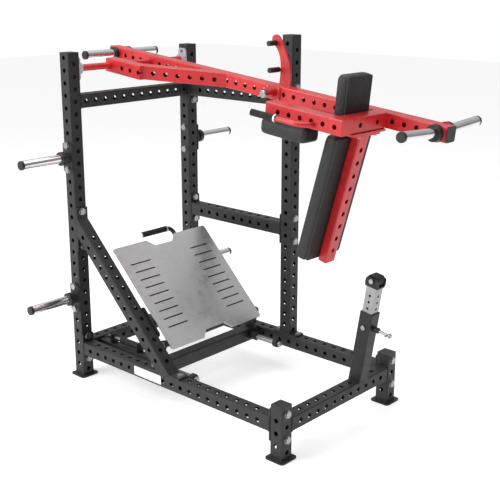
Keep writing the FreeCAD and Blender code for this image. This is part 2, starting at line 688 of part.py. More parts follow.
# ---- shoulder pads under the two bars
board_low = -half_t - SHOULDER_BOARD_T
shoulder = (SHOULDER_S - SHOULDER_L / 2, SHOULDER_S + SHOULDER_L / 2,
            -ARM_BEAM_Y - SHOULDER_W / 2, -ARM_BEAM_Y + SHOULDER_W / 2)
board = rounded_box(shoulder[0] + 12, shoulder[1] - 12, shoulder[2] + 10, shoulder[3] - 10,
                    board_low, -half_t, Z, 10.0)
pad = rounded_box(*shoulder, board_low - SHOULDER_T, board_low, Z, PAD_ROUND)
arm_nodes["pad_boards"] = group(boards + both(board))
arm_nodes["shoulder_pad_near"] = pad
arm_nodes["shoulder_pad_far"] = mirrored(pad)

# ---- hand grips beside the shoulder pads
grip_y = side_near - GRIP_OUT
grip_start = V(GRIP_REAR, grip_y, GRIP_N)
ring_at = GRIP_REAR + GRIP_L
bar_points = [V(ring_at + GRIP_RING_T, grip_y, GRIP_N),
              V(GRIP_JOIN_S, grip_y, GRIP_N), V(GRIP_JOIN_S, side_near, GRIP_N)]
handle = bent_bar(bar_points, GRIP_ROD_D, GRIP_BEND)
grip = rod(grip_start, X, GRIP_L, GRIP_D)
ring = disc(V(ring_at, grip_y, GRIP_N), X, GRIP_RING_T, GRIP_RING_D, 2.0)
cap = disc(grip_start, X * -1, GRIP_CAP_T, GRIP_D, 2.5)
arm_nodes["handle_bars"] = group(both(handle))
arm_nodes["handle_grips"] = group(both(grip))
arm_nodes["handle_ends"] = group(both(ring) + both(cap))

for word, shapes in zip(("collars", "sleeves", "caps"), zip(*arm_horns)):
    arm_nodes["horn_" + word] = group(list(shapes))

pivot = V(PIVOT_X, 0, PIVOT_Z)
for name, shape in arm_nodes.items():
    turned = shape.copy()
    turned.rotate(V(0, 0, 0), Y, ARM_PITCH)
    turned.translate(pivot)
    nodes[name] = turned

# ---- foot plate and its frame: p runs up the slope, q out of the face
slope = math.radians(PLATE_SLOPE)
P_DIR = V(-math.cos(slope), 0, math.sin(slope))
Q_DIR = V(math.sin(slope), 0, math.cos(slope))
plate_origin = V(PLATE_X, 0, PLATE_Z)


def on_plate(shape):
    """Carry a shape drawn with X up the slope and Z out of the face onto the machine."""
    return mirrored(place(shape, plate_origin, P_DIR, V(0, -1, 0)))


def notch(edge, deep, wide, side):
    """Cutter for a notch with slanted ends in one edge of the foot plate."""
    half_w = wide / 2
    inner = half_w - NOTCH_SLANT
    points = [V(edge - side, half_w, -PLATE_T - 1), V(edge + side * deep, inner, -PLATE_T - 1),
              V(edge + side * deep, -inner, -PLATE_T - 1), V(edge - side, -half_w, -PLATE_T - 1)]
    return Part.Face(Part.makePolygon(points + points[:1])).extrude(Z * (PLATE_T + 2))


foot = rounded_box(0, PLATE_LEN, -PLATE_W / 2, PLATE_W / 2, -PLATE_T, 0, Z, PLATE_ROUND)
cuts = [notch(0, NOTCH_LOW_D, NOTCH_LOW_W, 1), notch(PLATE_LEN, NOTCH_TOP_D, NOTCH_TOP_W, -1)]
for i in range(SLOT_COUNT):
    p = SLOT_FIRST + i * SLOT_PITCH
    for side in (-1, 1):
        y0, y1 = sorted((side * SLOT_IN, side * (SLOT_IN + SLOT_L)))
        cuts.append(rounded_box(p - SLOT_W / 2, p + SLOT_W / 2, y0, y1, -PLATE_T - 1, 1, Z,
                                SLOT_W / 2 - 0.05))
nodes["foot_plate"] = on_plate(foot.cut(cuts))

bracket_y = PLATE_W / 2 + 9.0
axle_end = bracket_y - SIDE_GAP
rail_low = -PLATE_T - FOOT_RAIL
frame_parts = [rod(V(HINGE_P, -axle_end, HINGE_Q), Y, 2 * axle_end, FOOT_TUBE_D)]
for side in (-1, 1):
    y = side * FOOT_RAIL_Y
    frame_parts.append(rounded_box(HINGE_P, FOOT_RAIL_TOP, y - FOOT_RAIL / 2, y + FOOT_RAIL / 2,
                                   rail_low, -PLATE_T, X, 4.0))
frame_parts.append(rounded_box(FOOT_CROSS_P, FOOT_CROSS_P + FOOT_RAIL, -FOOT_RAIL_Y, FOOT_RAIL_Y,
                               rail_low, -PLATE_T, Y, 4.0))
latch_end = INNER_Y - QUADRANT_T - SIDE_GAP
frame_parts.append(rod(V(LATCH_P, -latch_end, HINGE_Q), Y, latch_end - FOOT_RAIL_Y, LATCH_TUBE_D))
ear_gap = GRIP_ROD_D / 2 + 1.0
for y in (HANDLE_ROD_Y - ear_gap - HANDLE_EAR_T, HANDLE_ROD_Y + ear_gap):
    ear = rounded_box(FOOT_CROSS_P + FOOT_RAIL - 6, HANDLE_PIVOT_P + 12, y, y + HANDLE_EAR_T,
                      HANDLE_Q - 14, HANDLE_Q + 14, Y, 6.0)
    frame_parts.append(ear)
foot_frame = frame_parts[0].fuse(frame_parts[1:])
axle_bore = rod(V(HINGE_P, -axle_end - 1, HINGE_Q), Y, 2 * axle_end + 2, BOLT_D + 2 * RUNNING)
pin_hole = rod(V(HANDLE_PIVOT_P, HANDLE_ROD_Y - 40, HANDLE_Q), Y, 80, HANDLE_PIN_D + 2 * RUNNING)
top_face = box(0, PLATE_LEN, -PLATE_W, PLATE_W, -PLATE_T, FOOT_TUBE_D)
foot_frame = foot_frame.cut([axle_bore, pin_hole, top_face])
strips = []
strip_sides = ((SLOT_IN - 18.0, FOOT_RAIL_Y - FOOT_RAIL / 2),
               (FOOT_RAIL_Y + FOOT_RAIL / 2, SLOT_IN + SLOT_L + 16.0))
for low, high in strip_sides:
    strips += both(box(SLOT_FIRST - 16.0, FOOT_CROSS_P, low, high, -PLATE_T - STRIP_T, -PLATE_T))
nodes["foot_plate_frame"] = on_plate(group([foot_frame] + strips))

# ---- what carries the foot plate
hinge_at = plate_origin + P_DIR * HINGE_P + Q_DIR * HINGE_Q
lug_r = 24.0
lug_base_x = (CROSS_X - TUBE / 2 + 4, CROSS_X + TUBE / 2 - 4)
lug_points = [V(lug_base_x[0], bracket_y, RAIL_TOP), V(lug_base_x[1], bracket_y, RAIL_TOP),
              V(hinge_at.x + lug_r, bracket_y, hinge_at.z), V(hinge_at.x - lug_r, bracket_y, hinge_at.z)]
lug = Part.Face(Part.makePolygon(lug_points + lug_points[:1])).extrude(Y * FLANGE_T)
lug = lug.fuse(rod(V(hinge_at.x, bracket_y, hinge_at.z), Y, FLANGE_T, 2 * lug_r))
lug = lug.cut(rod(V(hinge_at.x, bracket_y - 1, hinge_at.z), Y, FLANGE_T + 2, BOLT_D + 2 * TINY))
hinge_out = bracket_y + FLANGE_T
hinge_bolt = rod(V(hinge_at.x, hinge_out - 62.0, hinge_at.z), Y, 62.0, BOLT_D)
hinge_bolt = hinge_bolt.fuse(disc(V(hinge_at.x, hinge_out, hinge_at.z), Y, 9.0, HEAD_D, 2.0))
small_bolts += both(hinge_bolt)

latch_r = LATCH_P - HINGE_P
quad_t = (BRACE_HOLE_T + PITCH - QUADRANT_R, BRACE_HOLE_T + 3 * PITCH + QUADRANT_R)
quadrant = rounded_box(quad_t[0], quad_t[1], -half_t, half_t + 14, -QUADRANT_T, 0, Z, 16.0)
quadrant = place(quadrant, V(brace_mid.x, -INNER_Y, brace_mid.z), DOWN, V(1, 0, 1).normalize())
for turn in (0.0, 6.0, 12.0):
    angle = slope + math.radians(turn)
    at = hinge_at + V(-math.cos(angle), 0, math.sin(angle)) * latch_r
    quadrant = quadrant.cut(rod(V(at.x, -INNER_Y - 1, at.z), Y, QUADRANT_T + 2, 12.0))
nodes["plate_brackets"] = group(both(lug) + [quadrant])
for t in (BRACE_HOLE_T + PITCH, BRACE_HOLE_T + 3 * PITCH):
    at = brace_mid + DOWN * t
    small_bolts.append(disc(V(at.x, -INNER_Y + QUADRANT_T, at.z), Y, 9.0, 30.0, 2.0))

# ---- release lever behind the foot plate
lever_y = HANDLE_Y + HANDLE_L / 2
lever_points = [V(HANDLE_P, HANDLE_Y - HANDLE_L / 2, HANDLE_Q), V(HANDLE_P, HANDLE_ROD_Y, HANDLE_Q),
                V(HANDLE_PIVOT_P - 10, HANDLE_ROD_Y, HANDLE_Q)]
lever_bar = bent_bar(lever_points, GRIP_ROD_D, HANDLE_BEND)
pin = rod(V(HANDLE_PIVOT_P, HANDLE_ROD_Y - ear_gap - HANDLE_EAR_T - 5, HANDLE_Q), Y,
          2 * (ear_gap + HANDLE_EAR_T + 5), HANDLE_PIN_D)
lever_bar = lever_bar.fuse(pin)
nodes["plate_lever_bar"] = on_plate(lever_bar)
grip_sleeve = pipe(V(HANDLE_P, HANDLE_Y - HANDLE_L / 2, HANDLE_Q), Y, HANDLE_L, GRIP_D,
                   GRIP_ROD_D + 2 * TINY)
nodes["plate_lever_grip"] = on_plate(grip_sleeve)
end_ring = pipe(V(HANDLE_P, lever_y, HANDLE_Q), Y, 9.0, GRIP_RING_D, GRIP_ROD_D + 2 * TINY)
end_cap = disc(V(HANDLE_P, HANDLE_Y - HANDLE_L / 2, HANDLE_Q), NEAR, 8.0, GRIP_D, 2.0)
nodes["plate_lever_rings"] = group([on_plate(end_ring), on_plate(end_cap)])

# ---- stop post on the rear rail, leaning back
lean = math.radians(STOP_LEAN)
LEAN_UP = V(math.sin(lean), 0, math.cos(lean))
stop_base = V(REAR_X + 4.0, ARM_BEAM_Y, RAIL_TOP)


def on_stop(shape):
    """Carry a shape drawn with X up the post and Z out of its rear face."""
    return place(shape, stop_base, LEAN_UP, Y * -1)


pin_hole_x = STOP_L - STOP_PIN_LOW
outer = tube(STOP_L + 60, TUBE, TUBE)
outer.translate(V(-60, 0, 0))
outer = outer.cut(rod(V(pin_hole_x, 0, 0), Z, TUBE, STOP_HOLE_D + 2 * LOOSE))
outer = on_stop(outer).cut(box(0, 2 * FRAME_L, -FRAME_W, FRAME_W, 0, RAIL_TOP))

bar_top = STOP_L + STOP_OUT
bar_low = bar_top - STOP_OUT - STOP_HIDDEN
b = STOP_BAR / 2
bar_outer = rounded_box(bar_low, bar_top, -b, b, -b, b, X, 4.0)
c = b - STOP_BAR_WALL
bar_cuts = [box(bar_low - 1, bar_top - STOP_BAR_WALL, -c, c, -c, c)]
for x in steps(pin_hole_x - 2 * STOP_PITCH, bar_top - STOP_PITCH / 2, STOP_PITCH):
    bar_cuts.append(rod(V(x, 0, -b - 1), Z, STOP_BAR + 2, STOP_HOLE_D))
    bar_cuts.append(rod(V(x, -b - 1, 0), Y, STOP_BAR + 2, STOP_HOLE_D))
nodes["stop_bar"] = on_stop(bar_outer.cut(bar_cuts))

ear_h = BUMPER_H - 4.0
saddle = rounded_box(bar_top, bar_top + BUMPER_EAR_T, -BUMPER_HALF, BUMPER_HALF,
                     -BUMPER_L / 2, BUMPER_L / 2, X, 6.0)
ears = []
for y in (-BUMPER_HALF, BUMPER_HALF - BUMPER_EAR_T):
    ear = rounded_box(bar_top, bar_top + ear_h, y, y + BUMPER_EAR_T, -BUMPER_L / 2, BUMPER_L / 2, Y, 14.0)
    ears.append(ear)
bumper_mid = bar_top + BUMPER_EAR_T + 27.0
cross_bolt = rod(V(bumper_mid, -46, 0), Y, 92, BUMPER_BOLT_D)
bracket = saddle.fuse(ears)
nodes["bumper_bracket"] = on_stop(bracket.cut(rod(V(bumper_mid, -50, 0), Y, 100, BUMPER_BOLT_D + 2 * TINY)))
rubber_w = BUMPER_HALF - BUMPER_EAR_T - TINY
rubber = rounded_box(bar_top + BUMPER_EAR_T, bar_top + BUMPER_EAR_T + BUMPER_H, -rubber_w, rubber_w,
                     6 - BUMPER_L / 2, BUMPER_L / 2 - 6, Y, 18.0)
nodes["bumper"] = on_stop(rubber.cut(rod(V(bumper_mid, -50, 0), Y, 100, BUMPER_BOLT_D + 2 * TINY)))
ends = [cross_bolt, disc(V(bumper_mid, BUMPER_HALF, 0), Y, 12.0, 26.0, 2.0),
        disc(V(bumper_mid, -BUMPER_HALF, 0), NEAR, 12.0, 26.0, 2.0)]
nodes["bumper_bolt"] = on_stop(ends[0].fuse(ends[1:]))

housing = pipe(V(pin_hole_x, 0, half_t), Z, 34.0, 30.0, STOP_HOLE_D + 2 * RUNNING)
nodes["stop_post"] = outer.fuse(on_stop(housing))
pin_rod = rod(V(pin_hole_x, 0, b + 2.0), Z, 100.0, STOP_HOLE_D)
knob = disc(V(pin_hole_x, 0, b + 102.0), Z, 14.0, 24.0, 4.0)
cross_bar = rod(V(pin_hole_x, -24, b + 96.0), Y, 48.0, 9.0)
nodes["stop_pin"] = on_stop(pin_rod.fuse([knob, cross_bar]))
small_bolts.append(on_stop(disc(V(pin_hole_x, half_t, 0), Y, 8.0, 26.0, 2.0)))
nodes["small_bolts"] = group(small_bolts)

# ---- move the machine so that its box stands on the origin, and write it out
whole = Part.makeCompound(list(nodes.values())).BoundBox
shift = V(-whole.Center.x, -whole.Center.y, -whole.ZMin)
for name, shape in nodes.items():
    moved = shape.copy()
    moved.translate(shift)
    moved.exportStep(os.path.join("parts", name + ".step"))
print("shift", shift.x, shift.y, shift.z, "size", whole.XLength, whole.YLength, whole.ZLength)
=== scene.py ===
"""Finishes and soft goods for a pendulum squat machine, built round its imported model."""
import json
import math

import bmesh
import bpy
import numpy as np
from bpy.props import FloatProperty, FloatVectorProperty, PointerProperty
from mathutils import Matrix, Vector
from mathutils.bvhtree import BVHTree


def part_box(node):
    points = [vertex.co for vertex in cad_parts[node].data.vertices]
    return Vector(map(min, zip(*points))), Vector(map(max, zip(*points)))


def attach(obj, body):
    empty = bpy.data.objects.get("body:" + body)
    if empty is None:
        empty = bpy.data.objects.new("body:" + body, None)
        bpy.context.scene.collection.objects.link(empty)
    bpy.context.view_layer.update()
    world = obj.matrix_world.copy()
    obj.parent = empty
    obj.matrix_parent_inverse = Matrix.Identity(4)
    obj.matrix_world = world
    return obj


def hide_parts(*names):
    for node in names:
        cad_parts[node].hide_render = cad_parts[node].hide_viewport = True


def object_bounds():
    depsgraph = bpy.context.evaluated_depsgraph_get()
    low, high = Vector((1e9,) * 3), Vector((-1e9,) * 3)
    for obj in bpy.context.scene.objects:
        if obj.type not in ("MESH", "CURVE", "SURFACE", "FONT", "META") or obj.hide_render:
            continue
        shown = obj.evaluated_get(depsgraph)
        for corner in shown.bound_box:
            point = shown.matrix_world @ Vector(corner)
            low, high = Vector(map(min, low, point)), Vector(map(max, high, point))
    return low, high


bl_info = {
    "name": "Pendulum Squat Machine",
    "version": (1, 0, 0),
    "blender": (4, 5, 0),
    "location": "3D View > Sidebar > Machine",
    "description": "Adds finishes, pads, grips, welds and washers to the packed machine",
    "category": "Object",
}

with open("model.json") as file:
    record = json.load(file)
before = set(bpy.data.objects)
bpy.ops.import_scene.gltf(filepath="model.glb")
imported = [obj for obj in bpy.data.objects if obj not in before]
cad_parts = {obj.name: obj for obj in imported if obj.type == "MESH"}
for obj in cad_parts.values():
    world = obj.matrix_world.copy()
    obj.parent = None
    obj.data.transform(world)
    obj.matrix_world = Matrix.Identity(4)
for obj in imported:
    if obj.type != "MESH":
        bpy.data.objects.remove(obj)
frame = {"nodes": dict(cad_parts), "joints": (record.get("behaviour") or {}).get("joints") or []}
CAD_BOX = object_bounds()
NODES = frame["nodes"]
JOINTS = {joint["name"]: joint for joint in frame["joints"]}

MM = 0.001
TUBE = 76 * MM
POST_Y = 444.5 * MM
RAIL_Z = 178 * MM
FLANGE = 8 * MM
PIVOT = np.array(JOINTS["arm_pivot"]["pos_m"])
ARM_PITCH = math.radians(6.1)
BACK_TILT = math.radians(9.87)
ARM_AXES = np.array([[math.cos(ARM_PITCH), 0, -math.sin(ARM_PITCH)],
                     [0, 1, 0],
                     [math.sin(ARM_PITCH), 0, math.cos(ARM_PITCH)]])


# ---------------------------------------------------------------- meshes
def grid_quads(rows, cols, wrap_rows, wrap_cols):
    """Quads of a grid: each cell joins a point to its next row and next column."""
    i = np.arange(rows if wrap_rows else rows - 1)[:, None]
    j = np.arange(cols if wrap_cols else cols - 1)[None, :]
    i2, j2 = (i + 1) % rows, (j + 1) % cols
    quads = np.stack([i * cols + j, i * cols + j2, i2 * cols + j2, i2 * cols + j], axis=-1)
    return quads.reshape(-1, 4)


def mesh_from(name, points, quads):
    """A mesh from an array of points and an array of quads."""
    mesh = bpy.data.meshes.new(name)
    mesh.vertices.add(len(points))
    mesh.vertices.foreach_set("co", np.ascontiguousarray(points, dtype=np.float32).ravel())
    mesh.loops.add(quads.size)
    mesh.loops.foreach_set("vertex_index", np.ascontiguousarray(quads, dtype=np.int32).ravel())
    mesh.polygons.add(len(quads))
    mesh.polygons.foreach_set("loop_start", np.arange(0, quads.size, 4, dtype=np.int32))
    mesh.update(calc_edges=True)
    mesh.validate()
    mesh.polygons.foreach_set("use_smooth", np.ones(len(mesh.polygons), dtype=bool))
    return mesh


def points_of(mesh):
    """The mesh's points as an array."""
    flat = np.empty(len(mesh.vertices) * 3, dtype=np.float32)
    mesh.vertices.foreach_get("co", flat)
    return flat.reshape(-1, 3).astype(float)


def normals_of(mesh):
    """The normals of the mesh's points as an array."""
    flat = np.empty(len(mesh.vertices) * 3, dtype=np.float32)
    mesh.vertices.foreach_get("normal", flat)
    return flat.reshape(-1, 3).astype(float)


def add_piece(name, mesh, body, material):
    """Link a mesh as a piece, make it ride on its body and give it its finish."""
    piece = bpy.data.objects.new(name, mesh)
    bpy.context.scene.collection.objects.link(piece)
    mesh.materials.clear()
    mesh.materials.append(material)
    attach(piece, body)
    return piece


def joined(parts):
    """Several arrays of points and quads as one pair of arrays."""
    points, quads, start = [], [], 0
    for p, q in parts:
        points.append(p)
        quads.append(q + start)
        start += len(p)
    return np.concatenate(points), np.concatenate(quads)


def tube_along(path, radii, sides):
    """A circle carried along a closed path.

    The tangent is the difference of the path's neighbours. The side direction is the
    tangent crossed with the path's own best plane, and the third is their cross product.
    Point = path + radius x (cos a x side + sin a x third).
    """
    tangent = np.roll(path, -1, axis=0) - np.roll(path, 1, axis=0)
    tangent /= np.linalg.norm(tangent, axis=1)[:, None]
    middle = path - path.mean(axis=0)
    plane = np.linalg.svd(middle, full_matrices=False)[2][2]
    turning = np.cross(middle, np.roll(middle, -1, axis=0)).sum(axis=0)
    plane = plane if turning @ plane > 0 else -plane
    side = np.cross(tangent, plane)
    side /= np.linalg.norm(side, axis=1)[:, None]
    third = np.cross(tangent, side)
    a = np.linspace(0, 2 * math.pi, sides, endpoint=False)
    ring = np.cos(a)[None, :, None] * side[:, None, :] + np.sin(a)[None, :, None] * third[:, None, :]
    points = path[:, None, :] + np.asarray(radii)[:, None, None] * ring
    return points.reshape(-1, 3), grid_quads(len(path), sides, True, True)


def lathe(profile, start, axis, sides):
    """A profile of (distance along, radius) turned round an axis; the ends close on it."""
    axis = np.asarray(axis, float) / np.linalg.norm(axis)
    other = np.cross(axis, [0.0, 0.0, 1.0])
    if np.linalg.norm(other) < 0.1:
        other = np.cross(axis, [1.0, 0.0, 0.0])
    other /= np.linalg.norm(other)
    third = np.cross(axis, other)
    a = np.linspace(0, 2 * math.pi, sides, endpoint=False)
    ring = np.cos(a)[:, None] * other + np.sin(a)[:, None] * third
    profile = np.asarray(profile, float)
    points = (np.asarray(start, float) + profile[:, 0, None, None] * axis
              + profile[:, 1, None, None] * ring[None, :, :])
    return points.reshape(-1, 3), grid_quads(len(profile), sides, False, True)


def rounded_loop(wide, high, radius, count):
    """Points round a rectangle with rounded corners, evenly spaced along its length.

    Each side is a straight run and each corner a quarter circle; a point's place is
    found by walking its share of the whole length.
    """
    w, h = wide / 2 - radius, high / 2 - radius
    arc = math.pi / 2 * radius
    runs = np.cumsum([0, 2 * h, arc, 2 * w, arc, 2 * h, arc, 2 * w, arc])
    s = np.linspace(0, runs[-1], count, endpoint=False)
    k = np.searchsorted(runs, s, side="right") - 1
    t = s - runs[k]
    quarter = k // 2
    corner = np.array([[w, h], [-w, h], [-w, -h], [w, -h]])
    first = np.array([[w + radius, -h], [w, h + radius], [-w - radius, h], [-w, -h - radius]])
    step = np.array([[0, 1], [-1, 0], [0, -1], [1, 0]])
    straight = first[quarter] + step[quarter] * t[:, None]
    angle = quarter * math.pi / 2 + t / radius
    bent = corner[quarter] + radius * np.stack([np.cos(angle), np.sin(angle)], axis=1)
    return np.where((k % 2 == 0)[:, None], straight, bent)


def arm_point(s, y, n):
    """A point given along, across and above the pendulum arm, in the machine's frame."""
    s, y, n = np.broadcast_arrays(s, y, n)
    local = np.stack([s, y, n], axis=-1)
    return local @ ARM_AXES + PIVOT


def node_centre(name):
    """The middle of a node's box."""
    low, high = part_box(name)
    return (np.array(low) + np.array(high)) / 2


# ---------------------------------------------------------------- shader groups
def new_group(name, inputs, outputs):
    """An empty shader group with its sockets; inputs are (name, type, default)."""
    tree = bpy.data.node_groups.new(name, "ShaderNodeTree")
    for label, kind, default in inputs:
        socket = tree.interface.new_socket(name=label, in_out="INPUT", socket_type=kind)
        socket.default_value = default
    for label, kind in outputs:
        tree.interface.new_socket(name=label, in_out="OUTPUT", socket_type=kind)
    return tree, tree.nodes.new("NodeGroupInput"), tree.nodes.new("NodeGroupOutput")


def math_node(tree, operation, a, b=None):
    """A Math node whose operands are sockets or numbers."""
    node = tree.nodes.new("ShaderNodeMath")
    node.operation = operation
    for socket, value in zip(node.inputs, (a, b)):
        if isinstance(value, bpy.types.NodeSocket):
            tree.links.new(value, socket)
        elif value is not None:
            socket.default_value = value
    return node.outputs[0]


def noise_node(tree, vector, scale, detail, rough=0.5):
    """A Noise Texture read at a vector; scale is a socket or a number."""
    node = tree.nodes.new("ShaderNodeTexNoise")
    node.inputs["Detail"].default_value = detail
    node.inputs["Roughness"].default_value = rough
    tree.links.new(vector, node.inputs["Vector"])
    if isinstance(scale, bpy.types.NodeSocket):
        tree.links.new(scale, node.inputs["Scale"])
    else:
        node.inputs["Scale"].default_value = scale
    return node.outputs["Fac"]


def range_node(tree, value, low, high, to_low, to_high):
    """A clamped Map Range from (low, high) to (to_low, to_high)."""
    node = tree.nodes.new("ShaderNodeMapRange")
    tree.links.new(value, node.inputs["Value"])
    for label, number in (("From Min", low), ("From Max", high), ("To Min", to_low), ("To Max", to_high)):
        if isinstance(number, bpy.types.NodeSocket):
            tree.links.new(number, node.inputs[label])
        else:
            node.inputs[label].default_value = number
    return node.outputs["Result"]


def object_vector(tree, scale=(1.0, 1.0, 1.0), turn=(0.0, 0.0, 0.0)):
    """Object coordinates through a Mapping node that turns and stretches them."""
    coords = tree.nodes.new("ShaderNodeTexCoord")
    mapping = tree.nodes.new("ShaderNodeMapping")
    mapping.vector_type = "POINT"
    mapping.inputs["Rotation"].default_value = turn
    mapping.inputs["Scale"].default_value = scale
    tree.links.new(coords.outputs["Object"], mapping.inputs["Vector"])
    return mapping.outputs["Vector"]


def build_edge_wear():
    """Mask of rubbed edges: where the rounded normal leaves the true one, broken by noise."""
    tree, inp, out = new_group("Edge Wear", [("Vector", "NodeSocketVector", (0, 0, 0)),
                                             ("Amount", "NodeSocketFloat", 0.5)],
                               [("Mask", "NodeSocketFloat")])
    bevel = tree.nodes.new("ShaderNodeBevel")
    bevel.samples = 4
    bevel.inputs["Radius"].default_value = 1.6 * MM
    geometry = tree.nodes.new("ShaderNodeNewGeometry")
    dot = tree.nodes.new("ShaderNodeVectorMath")
    dot.operation = "DOT_PRODUCT"
    tree.links.new(bevel.outputs["Normal"], dot.inputs[0])
    tree.links.new(geometry.outputs["Normal"], dot.inputs[1])
    edge = range_node(tree, dot.outputs["Value"], 0.995, 0.90, 0.0, 1.0)
    patch = noise_node(tree, inp.outputs["Vector"], 38.0, 4.0, 0.65)
    patch = range_node(tree, patch, 0.40, 0.62, 0.15, 1.0)
    worn = math_node(tree, "MULTIPLY", edge, patch)
    tree.links.new(math_node(tree, "MULTIPLY", worn, inp.outputs["Amount"]), out.inputs["Mask"])
    return tree


def build_mottle():
    """Slow and fine colour variation in one value between Low and High."""
    tree, inp, out = new_group("Mottle", [("Vector", "NodeSocketVector", (0, 0, 0)),
                                          ("Scale", "NodeSocketFloat", 8.0),
                                          ("Low", "NodeSocketFloat", 0.0),
                                          ("High", "NodeSocketFloat", 1.0)],
                               [("Value", "NodeSocketFloat")])
    slow = noise_node(tree, inp.outputs["Vector"], inp.outputs["Scale"], 3.0, 0.55)
    fine_scale = math_node(tree, "MULTIPLY", inp.outputs["Scale"], 14.0)
    fine = noise_node(tree, inp.outputs["Vector"], fine_scale, 2.0, 0.5)
    mixed = math_node(tree, "ADD", math_node(tree, "MULTIPLY", slow, 0.7),
                      math_node(tree, "MULTIPLY", fine, 0.3))
    value = range_node(tree, mixed, 0.32, 0.68, inp.outputs["Low"], inp.outputs["High"])
    tree.links.new(value, out.inputs["Value"])
    return tree


def build_grain():
    """Height of a powder coat or moulded skin: rounded cells over fine noise."""
    tree, inp, out = new_group("Grain", [("Vector", "NodeSocketVector", (0, 0, 0)),
                                         ("Scale", "NodeSocketFloat", 700.0)],
                               [("Height", "NodeSocketFloat")])
    cells = tree.nodes.new("ShaderNodeTexVoronoi")
    cells.feature = "SMOOTH_F1"
    tree.links.new(inp.outputs["Vector"], cells.inputs["Vector"])
    tree.links.new(inp.outputs["Scale"], cells.inputs["Scale"])
    fine = noise_node(tree, inp.outputs["Vector"], math_node(tree, "MULTIPLY", inp.outputs["Scale"], 1.7), 2.0)
    height = math_node(tree, "ADD", math_node(tree, "MULTIPLY", cells.outputs["Distance"], 0.7),
                       math_node(tree, "MULTIPLY", fine, 0.5))
    tree.links.new(height, out.inputs["Height"])
    return tree


def build_dust():
    """Mask of the light dust that settles on faces that look up."""
    tree, inp, out = new_group("Dust", [("Vector", "NodeSocketVector", (0, 0, 0)),
                                        ("Amount", "NodeSocketFloat", 0.2)],
                               [("Mask", "NodeSocketFloat")])
    geometry = tree.nodes.new("ShaderNodeNewGeometry")
    split = tree.nodes.new("ShaderNodeSeparateXYZ")
    tree.links.new(geometry.outputs["Normal"], split.inputs[0])
    up = range_node(tree, split.outputs["Z"], 0.55, 1.0, 0.0, 1.0)
    spread = range_node(tree, noise_node(tree, inp.outputs["Vector"], 22.0, 5.0, 0.7), 0.35, 0.7, 0.1, 1.0)
    mask = math_node(tree, "MULTIPLY", math_node(tree, "MULTIPLY", up, spread), inp.outputs["Amount"])
    tree.links.new(mask, out.inputs["Mask"])
    return tree


def build_brush():
    """Fine parallel scratches: noise squeezed across the brushing direction."""
    tree, inp, out = new_group("Brush Lines", [("Vector", "NodeSocketVector", (0, 0, 0))],
                               [("Lines", "NodeSocketFloat")])
    fine = noise_node(tree, inp.outputs["Vector"], 1.0, 2.0, 0.6)
    coarse = tree.nodes.new("ShaderNodeVectorMath")
    coarse.operation = "SCALE"
    coarse.inputs["Scale"].default_value = 0.23
    tree.links.new(inp.outputs["Vector"], coarse.inputs[0])
    wide = noise_node(tree, coarse.outputs[0], 1.0, 3.0, 0.6)
    lines = math_node(tree, "ADD", math_node(tree, "MULTIPLY", fine, 0.6), math_node(tree, "MULTIPLY", wide, 0.4))
    tree.links.new(lines, out.inputs["Lines"])
    return tree


GROUPS = {}


def use_group(tree, name, vector, **values):
    """Place a shared group in a material and set its inputs."""
    node = tree.nodes.new("ShaderNodeGroup")
    node.node_tree = GROUPS[name]
    tree.links.new(vector, node.inputs["Vector"])
    for label, value in values.items():
        node.inputs[label].default_value = value
    return node.outputs[0]


def mix_colour(tree, factor, a, b):
    """Mix two colours, each a socket or a value, by a factor socket."""
    node = tree.nodes.new("ShaderNodeMix")
    node.data_type = "RGBA"
    tree.links.new(factor, node.inputs["Factor"])
    colour_inputs = [s for s in node.inputs if s.type == "RGBA"]
    for socket, value in zip(colour_inputs, (a, b)):
        if isinstance(value, bpy.types.NodeSocket):
            tree.links.new(value, socket)
        else:
            socket.default_value = (*value, 1.0)
    return [s for s in node.outputs if s.type == "RGBA"][0]


def start_material(name):
    """A material with its Principled shader, and its node tree."""
    material = bpy.data.materials.new(name)
    material.use_nodes = True
    tree = material.node_tree
    shader = next(n for n in tree.nodes if n.type == "BSDF_PRINCIPLED")
    return material, tree, shader


def add_bump(tree, shader, height, strength, distance):
    """Feed a height into the shader's normal."""
    bump = tree.nodes.new("ShaderNodeBump")
    bump.inputs["Strength"].default_value = strength
    bump.inputs["Distance"].default_value = distance
    tree.links.new(height, bump.inputs["Height"])
    tree.links.new(bump.outputs["Normal"], shader.inputs["Normal"])


def shade(colour, factor):
    """A colour made lighter or darker."""
    return tuple(min(1.0, c * factor) for c in colour)


def coat_material(name, colour, worn, rough, grain, wear, dust, coat=0.0):
    """Powder coat or moulded skin: grain, slow colour drift, rubbed edges and dust."""
    material, tree, shader = start_material(name)
    vector = object_vector(tree)
    drift = use_group(tree, "Mottle", vector, Scale=9.0)
    base = mix_colour(tree, drift, shade(colour, 0.84), shade(colour, 1.16))
    edges = use_group(tree, "Edge Wear", vector, Amount=wear)
    base = mix_colour(tree, edges, base, worn)
    settled = use_group(tree, "Dust", vector, Amount=dust)
    base = mix_colour(tree, settled, base, (0.42, 0.41, 0.40))
    tree.links.new(base, shader.inputs["Base Color"])
    gloss = use_group(tree, "Mottle", vector, Scale=26.0, Low=rough - 0.07, High=rough + 0.09)
    tree.links.new(gloss, shader.inputs["Roughness"])
    shader.inputs["Coat Weight"].default_value = coat
    shader.inputs["Coat Roughness"].default_value = 0.22
    add_bump(tree, shader, use_group(tree, "Grain", vector, Scale=grain), 0.22, 0.25 * MM)
    return material


